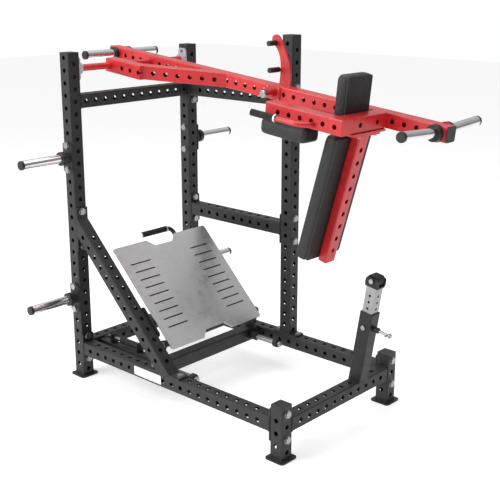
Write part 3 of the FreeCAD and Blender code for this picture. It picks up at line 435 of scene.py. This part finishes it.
def metal_material(name, colour, rough, stretch, turn, lines=0.10, marks=0.0, strength=0.10):
    """Bare metal: brushing or turning lines, blotches in the shine and faint marks."""
    material, tree, shader = start_material(name)
    shader.inputs["Metallic"].default_value = 1.0
    vector = object_vector(tree)
    brushed = object_vector(tree, stretch, turn)
    brush = use_group(tree, "Brush Lines", brushed)
    base = mix_colour(tree, brush, shade(colour, 0.92), shade(colour, 1.06))
    smudge = use_group(tree, "Mottle", vector, Scale=13.0, Low=0.0, High=marks)
    base = mix_colour(tree, smudge, base, shade(colour, 0.45))
    tree.links.new(base, shader.inputs["Base Color"])
    streak = range_node(tree, brush, 0.3, 0.7, rough - lines, rough + lines)
    blotch = use_group(tree, "Mottle", vector, Scale=21.0, Low=-0.05, High=0.06)
    tree.links.new(math_node(tree, "ADD", streak, blotch), shader.inputs["Roughness"])
    add_bump(tree, shader, brush, strength, 0.12 * MM)
    return material


def vinyl_material(name, colour):
    """Upholstery vinyl: pebbled leather grain, soft sheen and worn lighter patches."""
    material, tree, shader = start_material(name)
    vector = object_vector(tree)
    drift = use_group(tree, "Mottle", vector, Scale=7.0)
    base = mix_colour(tree, drift, shade(colour, 0.8), shade(colour, 1.25))
    settled = use_group(tree, "Dust", vector, Amount=0.05)
    base = mix_colour(tree, settled, base, (0.35, 0.34, 0.33))
    tree.links.new(base, shader.inputs["Base Color"])
    cells = tree.nodes.new("ShaderNodeTexVoronoi")
    cells.feature = "DISTANCE_TO_EDGE"
    cells.inputs["Scale"].default_value = 620.0
    warp = tree.nodes.new("ShaderNodeVectorMath")
    warp.operation = "ADD"
    ripple = tree.nodes.new("ShaderNodeTexNoise")
    ripple.inputs["Scale"].default_value = 240.0
    tree.links.new(vector, ripple.inputs["Vector"])
    small = tree.nodes.new("ShaderNodeVectorMath")
    small.operation = "SCALE"
    small.inputs["Scale"].default_value = 1.1 * MM
    tree.links.new(ripple.outputs["Color"], small.inputs[0])
    tree.links.new(vector, warp.inputs[0])
    tree.links.new(small.outputs[0], warp.inputs[1])
    tree.links.new(warp.outputs[0], cells.inputs["Vector"])
    pebble = range_node(tree, cells.outputs["Distance"], 0.0, 0.22, 0.0, 1.0)
    creases = noise_node(tree, vector, 34.0, 4.0, 0.6)
    height = math_node(tree, "ADD", pebble, math_node(tree, "MULTIPLY", creases, 1.6))
    rough = range_node(tree, pebble, 0.0, 1.0, 0.62, 0.44)
    tree.links.new(rough, shader.inputs["Roughness"])
    shader.inputs["Sheen Weight"].default_value = 0.08
    shader.inputs["Sheen Roughness"].default_value = 0.4
    add_bump(tree, shader, height, 0.35, 0.35 * MM)
    return material


def floor_material(colour):
    """Plain pale floor with barely visible mottling, lit a little from within."""
    material, tree, shader = start_material("pale_floor")
    vector = object_vector(tree)
    drift = use_group(tree, "Mottle", vector, Scale=2.0)
    pale = mix_colour(tree, drift, shade(colour, 0.985), colour)
    tree.links.new(pale, shader.inputs["Base Color"])
    shader.inputs["Roughness"].default_value = 0.7
    tree.links.new(pale, shader.inputs["Emission Color"])
    shader.inputs["Emission Strength"].default_value = 0.50
    return material


MATERIALS = {}


def finish_for(slot):
    """The material made for one of the record's slots."""
    if slot not in MATERIALS:
        raise RuntimeError("no material for slot " + slot)
    return MATERIALS[slot]


def build_materials(look):
    """All shared groups and all materials, from the colours the user can change."""
    GROUPS.update({"Edge Wear": build_edge_wear(), "Mottle": build_mottle(), "Grain": build_grain(),
                   "Dust": build_dust(), "Brush Lines": build_brush()})
    black, red, steel = tuple(look.black), tuple(look.red), tuple(look.steel)
    fine = (900.0, 900.0, 900.0)
    slope = (0.0, math.radians(45.0), 0.0)
    MATERIALS.update({
        "black_powder_coat": coat_material("black_powder_coat", black, shade(black, 3.2),
                                           0.50, 720.0, 0.55, 0.05),
        "lever_black": coat_material("lever_black", shade(black, 0.8), shade(black, 3.0),
                                     0.42, 800.0, 0.5, 0.03),
        "red_powder_coat": coat_material("red_powder_coat", red, (0.80, 0.24, 0.22), 0.36, 760.0,
                                         0.45, 0.04, 0.25),
        "black_plastic": coat_material("black_plastic", shade(black, 0.62), shade(black, 2.2),
                                       0.46, 1100.0, 0.35, 0.03),
        "black_rubber": coat_material("black_rubber", shade(black, 0.5), shade(black, 1.6),
                                      0.68, 950.0, 0.25, 0.05),
        "pad_board": coat_material("pad_board", shade(black, 0.7), (0.16, 0.12, 0.09),
                                   0.6, 420.0, 0.4, 0.05),
        "bearing_metal": coat_material("bearing_metal", (0.42, 0.42, 0.43), (0.6, 0.6, 0.6),
                                       0.45, 380.0, 0.6, 0.05),
        "label_white": coat_material("label_white", (0.80, 0.80, 0.79), (0.9, 0.9, 0.9),
                                     0.28, 1400.0, 0.1, 0.0, 0.3),
        "chromed_sleeve": metal_material("chromed_sleeve", (0.86, 0.86, 0.87), 0.16,
                                         (900.0, 60.0, 900.0), (0, 0, 0), 0.05, 0.10, 0.05),
        "zinc_steel": metal_material("zinc_steel", steel, 0.32, fine, (0, 0, 0), 0.08, 0.25, 0.12),
        "stop_bar_steel": metal_material("stop_bar_steel", shade(steel, 0.9), 0.38,
                                         (1100.0, 1100.0, 40.0), (0, 0, 0), 0.08, 0.25, 0.14),
        "ring_aluminium": metal_material("ring_aluminium", (0.72, 0.72, 0.73), 0.28,
                                         (1200.0, 80.0, 80.0), (0, 0, 0), 0.08, 0.1, 0.10),
        "brushed_plate": metal_material("brushed_plate", tuple(look.plate), 0.34,
                                        (1500.0, 14.0, 1500.0), slope, 0.09, 0.05, 0.10),
        "pad_vinyl": vinyl_material("pad_vinyl", tuple(look.vinyl)),
        "floor": floor_material((0.90, 0.90, 0.90)),
    })


# ---------------------------------------------------------------- settings
def colour_prop(label, about, default):
    """A colour the user can change."""
    return FloatVectorProperty(name=label, description=about, subtype="COLOR", size=3,
                               min=0.0, max=1.0, default=default)


def length_prop(label, about, default):
    """A length the user can change, in metres."""
    return FloatProperty(name=label, description=about, unit="LENGTH", min=0.0, default=default)


class MachineFinishes(bpy.types.PropertyGroup):
    """Colours of the machine's finishes."""

    black: colour_prop("Frame black", "Powder coat of the standing frame", (0.011, 0.011, 0.012))
    red: colour_prop("Arm red", "Powder coat of the pendulum arm", (0.56, 0.010, 0.014))
    steel: colour_prop("Zinc steel", "Bolts, pins and bare steel", (0.40, 0.40, 0.41))
    plate: colour_prop("Foot plate steel", "Brushed stainless steel of the foot plate", (0.80, 0.80, 0.805))
    vinyl: colour_prop("Pad vinyl", "Upholstery of the pads", (0.010, 0.010, 0.011))


class MachineSizes(bpy.types.PropertyGroup):
    """Sizes of the soft goods, welds, washers and grips."""

    pad_inset: length_prop("Pad inset", "How far a pad's blank starts inside its final size", 3.0 * MM)
    pad_swell: length_prop("Pad swell", "The most that a pad's face may swell", 6.0 * MM)
    pad_voxel: length_prop("Pad voxel", "Size of the cells that a pad's skin is made of", 5.0 * MM)
    pad_pressure: FloatProperty(name="Pad pressure", description="Pressure of the filling on the skin",
                                min=0.0, default=4.0)
    welt: length_prop("Seam welt", "Radius of the raised seam round a pad's face", 0.9 * MM)
    weld: length_prop("Weld bead", "Radius of a weld bead", 3.4 * MM)
    washer: length_prop("Washer edge", "How far a washer shows round its bolt head", 1.5 * MM)
    grip_rib: length_prop("Grip rib", "Depth of the grooves in the hand grips", 1.1 * MM)


class MachineStage(bpy.types.PropertyGroup):
    """Floor, lights and camera."""

    floor: length_prop("Floor", "Side of the square floor", 40.0)
    key: FloatProperty(name="Key light", description="Power of the large light at the left",
                       unit="POWER", min=0.0, default=200.0)
    fill: FloatProperty(name="Fill light", description="Power of the light at the right",
                        unit="POWER", min=0.0, default=9.0)
    top: FloatProperty(name="Top light", description="Power of the light overhead",
                       unit="POWER", min=0.0, default=110.0)
    sky: FloatProperty(name="Sky", description="Brightness of the surroundings", min=0.0, default=0.62)
    azimuth: FloatProperty(name="Camera azimuth", description="Turn of the camera round the machine",
                           subtype="ANGLE", default=math.radians(42.31))
    elevation: FloatProperty(name="Camera elevation", description="Height angle of the camera",
                             subtype="ANGLE", default=math.radians(15.685))
    place: FloatVectorProperty(name="Camera place", description="Where the camera stands",
                               subtype="TRANSLATION", unit="LENGTH", size=3,
                               default=(3.3881, -3.6277, 2.2737))
    lens: FloatProperty(name="Focal length", description="Focal length in millimetres",
                        min=1.0, default=68.05)


# ---------------------------------------------------------------- finishes
class MACHINE_OT_finishes(bpy.types.Operator):
    """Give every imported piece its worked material"""

    bl_idname = "machine.finishes"
    bl_label = "Finishes"

    def execute(self, context):
        build_materials(context.scene.machine_finishes)
        for node in NODES.values():
            for place in node.material_slots:
                place.material = finish_for(place.material.name.split(".")[0])
        return {"FINISHED"}


# ---------------------------------------------------------------- pads
def pad_skin(wide, long, thick, radius):
    """A closed slab with a rounded outline and softened edges.

    u goes round the outline and v from the middle of the back, over the side, to the
    middle of the face. Point = outline(u) x spread(v) in the plane and height(v) across
    it, where (spread, height) follows a half superellipse:
    spread = cos(t)^(1/4), height = thick / 2 x sin(t)^(1/2.6), t from -90 to 90 degrees,
    and flat rings fill the two faces in to their middles.
    """
    outline = rounded_loop(wide, long, radius, 240)
    t = np.radians(np.linspace(-89.0, 89.0, 61))
    side = np.cos(t) ** 0.25
    flat = np.linspace(0, side[0], 9)[:-1]
    spread = np.concatenate([flat, side, flat[::-1]])
    rise = np.sign(np.sin(t)) * np.abs(np.sin(t)) ** (1 / 2.6)
    height = thick / 2 * np.concatenate([np.full(len(flat), -1.0), rise, np.full(len(flat), 1.0)])
    plane = outline[None, :, :] * spread[:, None, None]
    across = np.broadcast_to(height[:, None, None], plane.shape[:2] + (1,))
    points = np.concatenate([plane, across], axis=2)
    return points.reshape(-1, 3), grid_quads(len(spread), len(outline), False, True)


def swell(blank, pressure):
    """Blow the skin up with cloth pressure, without gravity, and return its points."""
    cloth = blank.modifiers.new("Filling", "CLOTH")
    cloth.settings.quality = 4
    cloth.settings.mass = 0.4
    cloth.settings.tension_stiffness = 30.0
    cloth.settings.compression_stiffness = 30.0
    cloth.settings.bending_stiffness = 4.0
    cloth.settings.use_pressure = True
    cloth.settings.uniform_pressure_force = pressure
    cloth.settings.effector_weights.gravity = 0.0
    cloth.collision_settings.use_collision = False
    scene = bpy.context.scene
    for step in range(1, 21):
        scene.frame_set(step)
    shaped = blank.evaluated_get(bpy.context.evaluated_depsgraph_get())
    points = points_of(shaped.data)
    blank.modifiers.remove(cloth)
    scene.frame_set(1)
    return points


def pad_piece(name, node, size, board, radius, axes, body, settings):
    """A pad in its node's place, its cover wrapped over the board behind it.

    The steps are blank, remesh, swell, flatten the back, smooth and add the seam welts.

    axes holds the unit vectors across, along and out of the pad's face. Firm foam only
    pushes outwards, so a point moves along its normal n by limit x tanh(d / limit), where
    d is its swell along n and limit is the swell times (1 + |n out of the face|) / 2, and
    no point goes behind the back.
    """
    wrap = board - 0.5 * MM
    size = (size[0], size[1], size[2] + wrap)
    wide, long, thick = size
    inset = settings.pad_inset
    points, quads = pad_skin(wide - 2 * inset, long - 2 * inset, thick - inset, radius)
    points[:, 2] -= inset / 2
    blank = bpy.data.objects.new(name + "_blank", mesh_from(name + "_blank", points, quads))
    bpy.context.scene.collection.objects.link(blank)
    remesh = blank.modifiers.new("Skin", "REMESH")
    remesh.mode = "VOXEL"
    remesh.voxel_size = settings.pad_voxel
    skin = bpy.data.meshes.new_from_object(blank.evaluated_get(bpy.context.evaluated_depsgraph_get()))
    blank.modifiers.remove(remesh)
    blank.data = skin
    rest = points_of(skin)
    swollen = swell(blank, settings.pad_pressure)
    normals = normals_of(skin)
    outward = np.maximum(np.sum((swollen - rest) * normals, axis=1), 0.0)[:, None]
    limit = settings.pad_swell * (1 + np.abs(normals[:, 2:])) / 2
    local = rest + normals * limit * np.tanh(outward / limit)
    local[:, 2] = np.maximum(local[:, 2], -thick / 2)
    centre = node_centre(node) - np.array(axes[2]) * wrap / 2
    place = local @ np.array(axes) + centre
    skin.vertices.foreach_set("co", place.astype(np.float32).ravel())
    skin.update()
    skin.polygons.foreach_set("use_smooth", np.ones(len(skin.polygons), dtype=bool))
    bpy.data.objects.remove(blank)
    pad = add_piece(name, skin, body, finish_for("pad_vinyl"))
    even = pad.modifiers.new("Even", "SMOOTH")
    even.factor = 0.5
    even.iterations = 4
    fine = pad.modifiers.new("Fine", "SUBSURF")
    fine.levels = 1
    fine.render_levels = 1
    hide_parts(node)
    for side, label in ((1, "face"), (-1, "back")):
        seam_welt(name + "_welt_" + label, pad, side, size, radius, axes, centre, body,
                  settings.welt)
    return pad


def seam_welt(name, pad, side, size, radius, axes, centre, body, welt):
    """The stitched seam round a pad where its face meets its side band.

    A rounded loop just inside the outline is cast onto the pad's skin from outside, and
    a thin bead is carried along it, with a stitch dimple every few millimetres.
    """
    wide, long, thick = size
    count = int(2 * (wide + long) / (4.0 * MM))
    loop = rounded_loop(wide + 30 * MM, long + 30 * MM, radius + 15 * MM, count)
    height = side * (thick / 2 - 9.0 * MM)
    starts = np.column_stack([loop, np.full(count, height)])
    aims = np.column_stack([rounded_loop(wide - 60 * MM, long - 60 * MM, radius, count),
                            np.full(count, height)])
    axes = np.array(axes)
    starts = starts @ axes + centre
    aims = aims @ axes + centre
    deps = bpy.context.evaluated_depsgraph_get()
    tree = BVHTree.FromObject(pad, deps)
    inverse = pad.matrix_world.inverted()
    found = []
    for start, aim in zip(starts, aims):
        begin = inverse @ Vector(start)
        hit = tree.ray_cast(begin, (inverse @ Vector(aim)) - begin)[0]
        if hit is None:
            raise RuntimeError("the seam of " + pad.name + " misses its skin")
        found.append(pad.matrix_world @ hit)
    path = np.array(found)
    path = (np.roll(path, 1, axis=0) + path + np.roll(path, -1, axis=0)) / 3
    stitch = 1.0 - 0.28 * (np.arange(count) % 2)
    points, quads = tube_along(path, welt * stitch, 8)
    add_piece(name, mesh_from(name, points, quads), body, finish_for("pad_vinyl"))


def upright_axes(tilt):
    """Across, along and out of a pad that leans back by a tilt from vertical."""
    return [[0, 1, 0], [math.sin(tilt), 0, math.cos(tilt)], [math.cos(tilt), 0, -math.sin(tilt)]]


def facing_axes(tilt):
    """The same with the face turned towards the user."""
    across, along, out = upright_axes(tilt)
    return [[-a for a in across], along, [-a for a in out]]


class MACHINE_OT_back_pad(bpy.types.Operator):
    """Long pad in front of the back tube"""

    bl_idname = "machine.back_pad"
    bl_label = "Back pad"

    def execute(self, context):
        pad_piece("back_cushion", "back_pad", (286 * MM, 666 * MM, 68 * MM), 12 * MM, 16 * MM,
                  facing_axes(ARM_PITCH + BACK_TILT), "arm", context.scene.machine_sizes)
        return {"FINISHED"}


class MACHINE_OT_head_pad(bpy.types.Operator):
    """Head pad above the arm"""

    bl_idname = "machine.head_pad"
    bl_label = "Head pad"

    def execute(self, context):
        pad_piece("head_cushion", "head_pad", (206 * MM, 249 * MM, 60 * MM), 10 * MM, 22 * MM,
                  facing_axes(ARM_PITCH), "arm", context.scene.machine_sizes)
        return {"FINISHED"}


class MACHINE_OT_shoulder_pads(bpy.types.Operator):
    """Pair of shoulder pads under the arm"""

    bl_idname = "machine.shoulder_pads"
    bl_label = "Shoulder pads"

    def execute(self, context):
        axes = [ARM_AXES[1], ARM_AXES[0], -ARM_AXES[2]]
        for side in ("near", "far"):
            pad_piece("shoulder_cushion_" + side, "shoulder_pad_" + side,
                      (120 * MM, 284 * MM, 74 * MM), 8 * MM, 16 * MM, axes, "arm",
                      context.scene.machine_sizes)
        return {"FINISHED"}


# ---------------------------------------------------------------- welds
def bead(centre, across, along, wide, high, corner, radius):
    """A weld round a rectangular section: a rippled bead along its rounded outline.

    The radius at arc length s is r x (1 + 0.14 sin(2 pi s / pitch)), pitch 5 mm.
    """
    length = 2 * (wide + high)
    count = int(length / (1.25 * MM)) // 4 * 4
    loop = rounded_loop(wide, high, corner, count)
    path = np.asarray(centre) + loop[:, :1] * np.asarray(across) + loop[:, 1:] * np.asarray(along)
    ripple = 1 + 0.14 * np.sin(np.arange(count) * math.pi / 2)
    return tube_along(path, radius * ripple, 8)


X_AXIS, Y_AXIS, Z_AXIS = np.eye(3)


def section_bead(axis, at, centre, radius, wide=TUBE, high=TUBE):
    """A bead round a tube that runs along one axis, where it meets a plate at one place."""
    across, along = [a for k, a in enumerate((X_AXIS, Y_AXIS, Z_AXIS)) if k != axis]
    middle = np.array(centre, float)
    middle[axis] = at
    return bead(middle, across, along, wide, high, 6 * MM, radius)


class MACHINE_OT_frame_welds(bpy.types.Operator):
    """Weld beads where the frame's tubes meet their flanges and feet"""

    bl_idname = "machine.frame_welds"
    bl_label = "Frame welds"

    def execute(self, context):
        radius = context.scene.machine_sizes.weld
        parts = []
        foot_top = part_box("floor_plates")[1].z
        for node in ("posts_front", "posts_stop"):
            low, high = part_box(node)
            for y in (-POST_Y, POST_Y):
                parts.append(section_bead(2, foot_top, ((low.x + high.x) / 2, y, 0), radius))
        for node in ("rail_front", "beam_top_front", "crossbar_low", "rail_stop"):
            low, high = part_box(node)
            middle = (np.array(low) + np.array(high)) / 2
            for y in (low.y, high.y):
                parts.append(section_bead(1, y, middle, radius))
        low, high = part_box("rails_side")
        for x in (low.x + FLANGE, high.x - FLANGE):
            for y in (-POST_Y, POST_Y):
                parts.append(section_bead(0, x, (0, y, RAIL_Z), radius))
        low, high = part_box("beams_far")
        half = (0.175 / 2)
        for x in (low.x + FLANGE, high.x - FLANGE):
            for z in (low.z + half, high.z - half):
                parts.append(section_bead(0, x, (0, POST_Y, z), radius))
        low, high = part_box("post_middle")
        parts.append(section_bead(2, low.z + FLANGE, ((low.x + high.x) / 2, POST_Y, 0), radius))
        points, quads = joined(parts)
        add_piece("frame_welds", mesh_from("frame_welds", points, quads), "frame",
                  finish_for("black_powder_coat"))
        return {"FINISHED"}


def ring_bead(centre, axis, across, round_d, radius):
    """A weld round a round boss: the same rippled bead along a circle of its diameter."""
    along = np.cross(axis, across)
    return bead(centre, across, along, round_d, round_d, round_d / 2 - 0.1 * MM, radius)


class MACHINE_OT_sleeve_welds(bpy.types.Operator):
    """Weld beads round the bosses of the storage sleeves"""

    bl_idname = "machine.sleeve_welds"
    bl_label = "Sleeve welds"

    def execute(self, context):
        radius = context.scene.machine_sizes.weld * 0.8
        low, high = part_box("storage_sleeves")
        half = (high.x - low.x) / 2
        face = POST_Y + TUBE / 2 + FLANGE
        parts = [ring_bead((low.x + half, side * face, z), Y_AXIS, X_AXIS, 61 * MM, radius)
                 for side in (-1, 1) for z in (low.z + half, high.z - half)]
        points, quads = joined(parts)
        add_piece("sleeve_welds", mesh_from("sleeve_welds", points, quads), "frame",
                  finish_for("black_powder_coat"))
        return {"FINISHED"}


class MACHINE_OT_arm_welds(bpy.types.Operator):
    """Weld beads on the pendulum arm: weight collars, pivot tube and back tube"""

    bl_idname = "machine.arm_welds"
    bl_label = "Arm welds"

    def execute(self, context):
        radius = context.scene.machine_sizes.weld * 0.8
        beam_y = 177 * MM
        parts = []
        for s, wide in ((-305 * MM, 73 * MM), (1955 * MM, 83 * MM), (0.0, 39 * MM)):
            for side in (-1, 1):
                centre = arm_point(s, beam_y + side * TUBE / 2, 0.0)
                parts.append(ring_bead(centre, Y_AXIS, ARM_AXES[0], wide, radius))
        along = np.array(upright_axes(ARM_PITCH + BACK_TILT)[1])
        low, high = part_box("back_tube")
        out = np.cross(Y_AXIS, along)
        foot = arm_point(1662.9 * MM, 0.0, -56 * MM) - out * 25 * MM
        slant = ARM_AXES[0] / abs(ARM_AXES[0] @ out)
        parts.append(bead(foot, slant, Y_AXIS, 50 * MM, TUBE, 6 * MM, radius))
        points, quads = joined(parts)
        add_piece("arm_welds", mesh_from("arm_welds", points, quads), "arm",
                  finish_for("red_powder_coat"))
        return {"FINISHED"}


# ---------------------------------------------------------------- grips and washers
def grip_sleeve(start, axis, length, radius, rib):
    """A moulded hand grip with grooves and rounded ends.

    At distance t the radius is R - rib x ((1 - cos(2 pi t / 7 mm)) / 2)^6 between the
    ends, and falls by a quarter circle of 2 mm at each end.
    """
    t = np.linspace(0, length, int(length / (0.5 * MM)))
    groove = rib * ((1 - np.cos(2 * math.pi * t / (7 * MM))) / 2) ** 6
    ends = np.minimum(t, length - t)
    plain = ends < 8 * MM
    turn = np.clip(1 - ends / (2 * MM), 0, 1)
    fall = 2 * MM * (1 - np.sqrt(1 - turn ** 2))
    r = radius - np.where(plain, 0.0, groove) - fall
    profile = np.column_stack([t, r])
    profile = np.concatenate([[[0, 0]], profile, [[length, 0]]])
    return lathe(profile, start, axis, 48)


class MACHINE_OT_grips(bpy.types.Operator):
    """Grooved rubber grips of the two handles and of the foot plate's lever"""

    bl_idname = "machine.grips"
    bl_label = "Hand grips"

    def execute(self, context):
        rib = context.scene.machine_sizes.grip_rib
        gap = 0.1 * MM
        length = 145 * MM
        parts = []
        for side in (-1, 1):
            start = arm_point(1190 * MM + gap, side * 280.5 * MM, -14 * MM)
            parts.append(grip_sleeve(start, ARM_AXES[0], length - 2 * gap, 17 * MM, rib))
        points, quads = joined(parts)
        grips = add_piece("handle_rubber", mesh_from("handle_rubber", points, quads), "arm",
                          finish_for("black_rubber"))
        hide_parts("handle_grips")
        low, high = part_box("plate_lever_grip")
        start = ((low.x + high.x) / 2, low.y + gap, (low.z + high.z) / 2)
        points, quads = grip_sleeve(start, Y_AXIS, high.y - low.y - 2 * gap, (high.x - low.x) / 2, rib)
        lever = add_piece("lever_rubber", mesh_from("lever_rubber", points, quads), "plate_lever",
                          finish_for("black_rubber"))
        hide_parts("plate_lever_grip")
        return {"FINISHED"}


def islands(node):
    """The lowest and highest corners of each separate solid in a node."""
    merged = bmesh.new()
    merged.from_mesh(NODES[node].data)
    bmesh.ops.remove_doubles(merged, verts=merged.verts, dist=0.005 * MM)
    left = set(merged.verts)
    boxes = []
    while left:
        edge_of = [left.pop()]
        found = []
        while edge_of:
            vert = edge_of.pop()
            found.append(vert.co.copy())
            for edge in vert.link_edges:
                other = edge.other_vert(vert)
                if other in left:
                    left.discard(other)
                    edge_of.append(other)
        corners = np.array(found)
        boxes.append((corners.min(axis=0), corners.max(axis=0)))
    merged.free()
    return boxes


class MACHINE_OT_washers(bpy.types.Operator):
    """Flat washers under both heads of every frame bolt"""

    bl_idname = "machine.washers"
    bl_label = "Washers"

    def execute(self, context):
        edge = context.scene.machine_sizes.washer
        head = 19 * MM
        thick = 2.2 * MM
        profile = [(0, 0), (0, head + edge), (thick * 0.75, head + edge),
                   (thick, head + edge - 0.5 * MM), (thick, 0)]
        parts = []
        for low, high in islands("frame_bolts"):
            k = int(np.argmax(high - low))
            middle = (low + high) / 2
            for end, way in ((low[k] + 11 * MM, -1), (high[k] - 11 * MM, 1)):
                start = middle.copy()
                start[k] = end
                parts.append(lathe(profile, start, way * np.eye(3)[k], 40))
        points, quads = joined(parts)
        mesh = mesh_from("washers", points, quads)
        mesh.polygons.foreach_set("use_smooth", np.zeros(len(mesh.polygons), dtype=bool))
        add_piece("washers", mesh, "frame", finish_for("zinc_steel"))
        return {"FINISHED"}


# ---------------------------------------------------------------- stage
def area_light(name, place, size, power, aim):
    """A square soft light at a place, turned towards a point."""
    lamp = bpy.data.lights.new(name, "AREA")
    lamp.energy = power
    lamp.size = size
    holder = bpy.data.objects.new(name, lamp)
    bpy.context.scene.collection.objects.link(holder)
    holder.location = place
    holder.rotation_euler = (Vector(aim) - Vector(place)).to_track_quat("-Z", "Y").to_euler()


def studio_world(brightness):
    """White behind the machine, and a soft gradient for it to reflect."""
    world = bpy.data.worlds.new("Studio")
    world.use_nodes = True
    tree = world.node_tree
    background = next(n for n in tree.nodes if n.type == "BACKGROUND")
    coords = tree.nodes.new("ShaderNodeTexCoord")
    split = tree.nodes.new("ShaderNodeSeparateXYZ")
    tree.links.new(coords.outputs["Generated"], split.inputs[0])
    level = range_node(tree, split.outputs["Z"], -0.25, 0.75, 0.35, 1.15)
    side = range_node(tree, split.outputs["X"], -1.0, 1.0, 1.25, 0.42)
    soft = math_node(tree, "MULTIPLY", math_node(tree, "MULTIPLY", level, side), brightness)
    path = tree.nodes.new("ShaderNodeLightPath")
    seen = math_node(tree, "MAXIMUM", path.outputs["Is Camera Ray"], soft)
    tree.links.new(seen, background.inputs["Strength"])
    background.inputs["Color"].default_value = (1.0, 1.0, 1.0, 1.0)
    return world


class MACHINE_OT_stage(bpy.types.Operator):
    """Pale floor, soft lights and the camera"""

    bl_idname = "machine.stage"
    bl_label = "Stage"

    def execute(self, context):
        settings = context.scene.machine_stage
        half = settings.floor / 2
        edge = np.array([-half, half])
        x, y = np.meshgrid(edge, edge, indexing="ij")
        points = np.column_stack([x.ravel(), y.ravel(), np.zeros(4)])
        mesh = mesh_from("floor", points, np.array([[0, 2, 3, 1]]))
        mesh.materials.append(finish_for("floor"))
        floor = bpy.data.objects.new("floor", mesh)
        context.scene.collection.objects.link(floor)
        centre = (CAD_BOX[0] + CAD_BOX[1]) / 2
        area_light("key", (-2.6, -4.6, 3.4), 3.0, settings.key, centre)
        area_light("fill", (4.8, -1.6, 2.4), 2.6, settings.fill, centre)
        area_light("top", (0.0, 0.0, 5.0), 4.5, settings.top, centre)
        context.scene.world = studio_world(settings.sky)
        context.scene.view_settings.view_transform = "Standard"
        camera = bpy.data.objects.new("camera", bpy.data.cameras.new("camera"))
        context.scene.collection.objects.link(camera)
        camera.location = settings.place
        camera.rotation_euler = (math.pi / 2 - settings.elevation, 0.0, settings.azimuth)
        camera.data.lens = settings.lens
        camera.data.sensor_width = 36.0
        camera.data.shift_x = 0.0033
        camera.data.shift_y = -0.0195
        camera.data.clip_end = 200.0
        context.scene.camera = camera
        return {"FINISHED"}


STEPS = (MACHINE_OT_finishes, MACHINE_OT_back_pad, MACHINE_OT_head_pad, MACHINE_OT_shoulder_pads,
         MACHINE_OT_frame_welds, MACHINE_OT_sleeve_welds, MACHINE_OT_arm_welds, MACHINE_OT_grips,
         MACHINE_OT_washers, MACHINE_OT_stage)
GROUPS_OF_SETTINGS = (("machine_finishes", MachineFinishes), ("machine_sizes", MachineSizes),
                      ("machine_stage", MachineStage))


class MACHINE_PT_panel(bpy.types.Panel):
    """Settings and steps of the machine"""

    bl_idname = "MACHINE_PT_panel"
    bl_label = "Pendulum Squat Machine"
    bl_space_type = "VIEW_3D"
    bl_region_type = "UI"
    bl_category = "Machine"

    def draw(self, context):
        for name, kind in GROUPS_OF_SETTINGS:
            settings = getattr(context.scene, name)
            column = self.layout.column()
            for label in kind.__annotations__:
                column.prop(settings, label)
        for step in STEPS:
            self.layout.operator(step.bl_idname)


def register():
    """Register the settings, the steps and the panel."""
    for name, kind in GROUPS_OF_SETTINGS:
        bpy.utils.register_class(kind)
        setattr(bpy.types.Scene, name, PointerProperty(type=kind))
    for step in STEPS:
        bpy.utils.register_class(step)
    bpy.utils.register_class(MACHINE_PT_panel)


def unregister():
    """Take everything away again."""
    bpy.utils.unregister_class(MACHINE_PT_panel)
    for step in reversed(STEPS):
        bpy.utils.unregister_class(step)
    for name, kind in reversed(GROUPS_OF_SETTINGS):
        delattr(bpy.types.Scene, name)
        bpy.utils.unregister_class(kind)


def main():
    """Build every piece in order."""
    register()
    for step in STEPS:
        group, action = step.bl_idname.split(".")
        getattr(getattr(bpy.ops, group), action)()


if __name__ == "__main__":
    main()
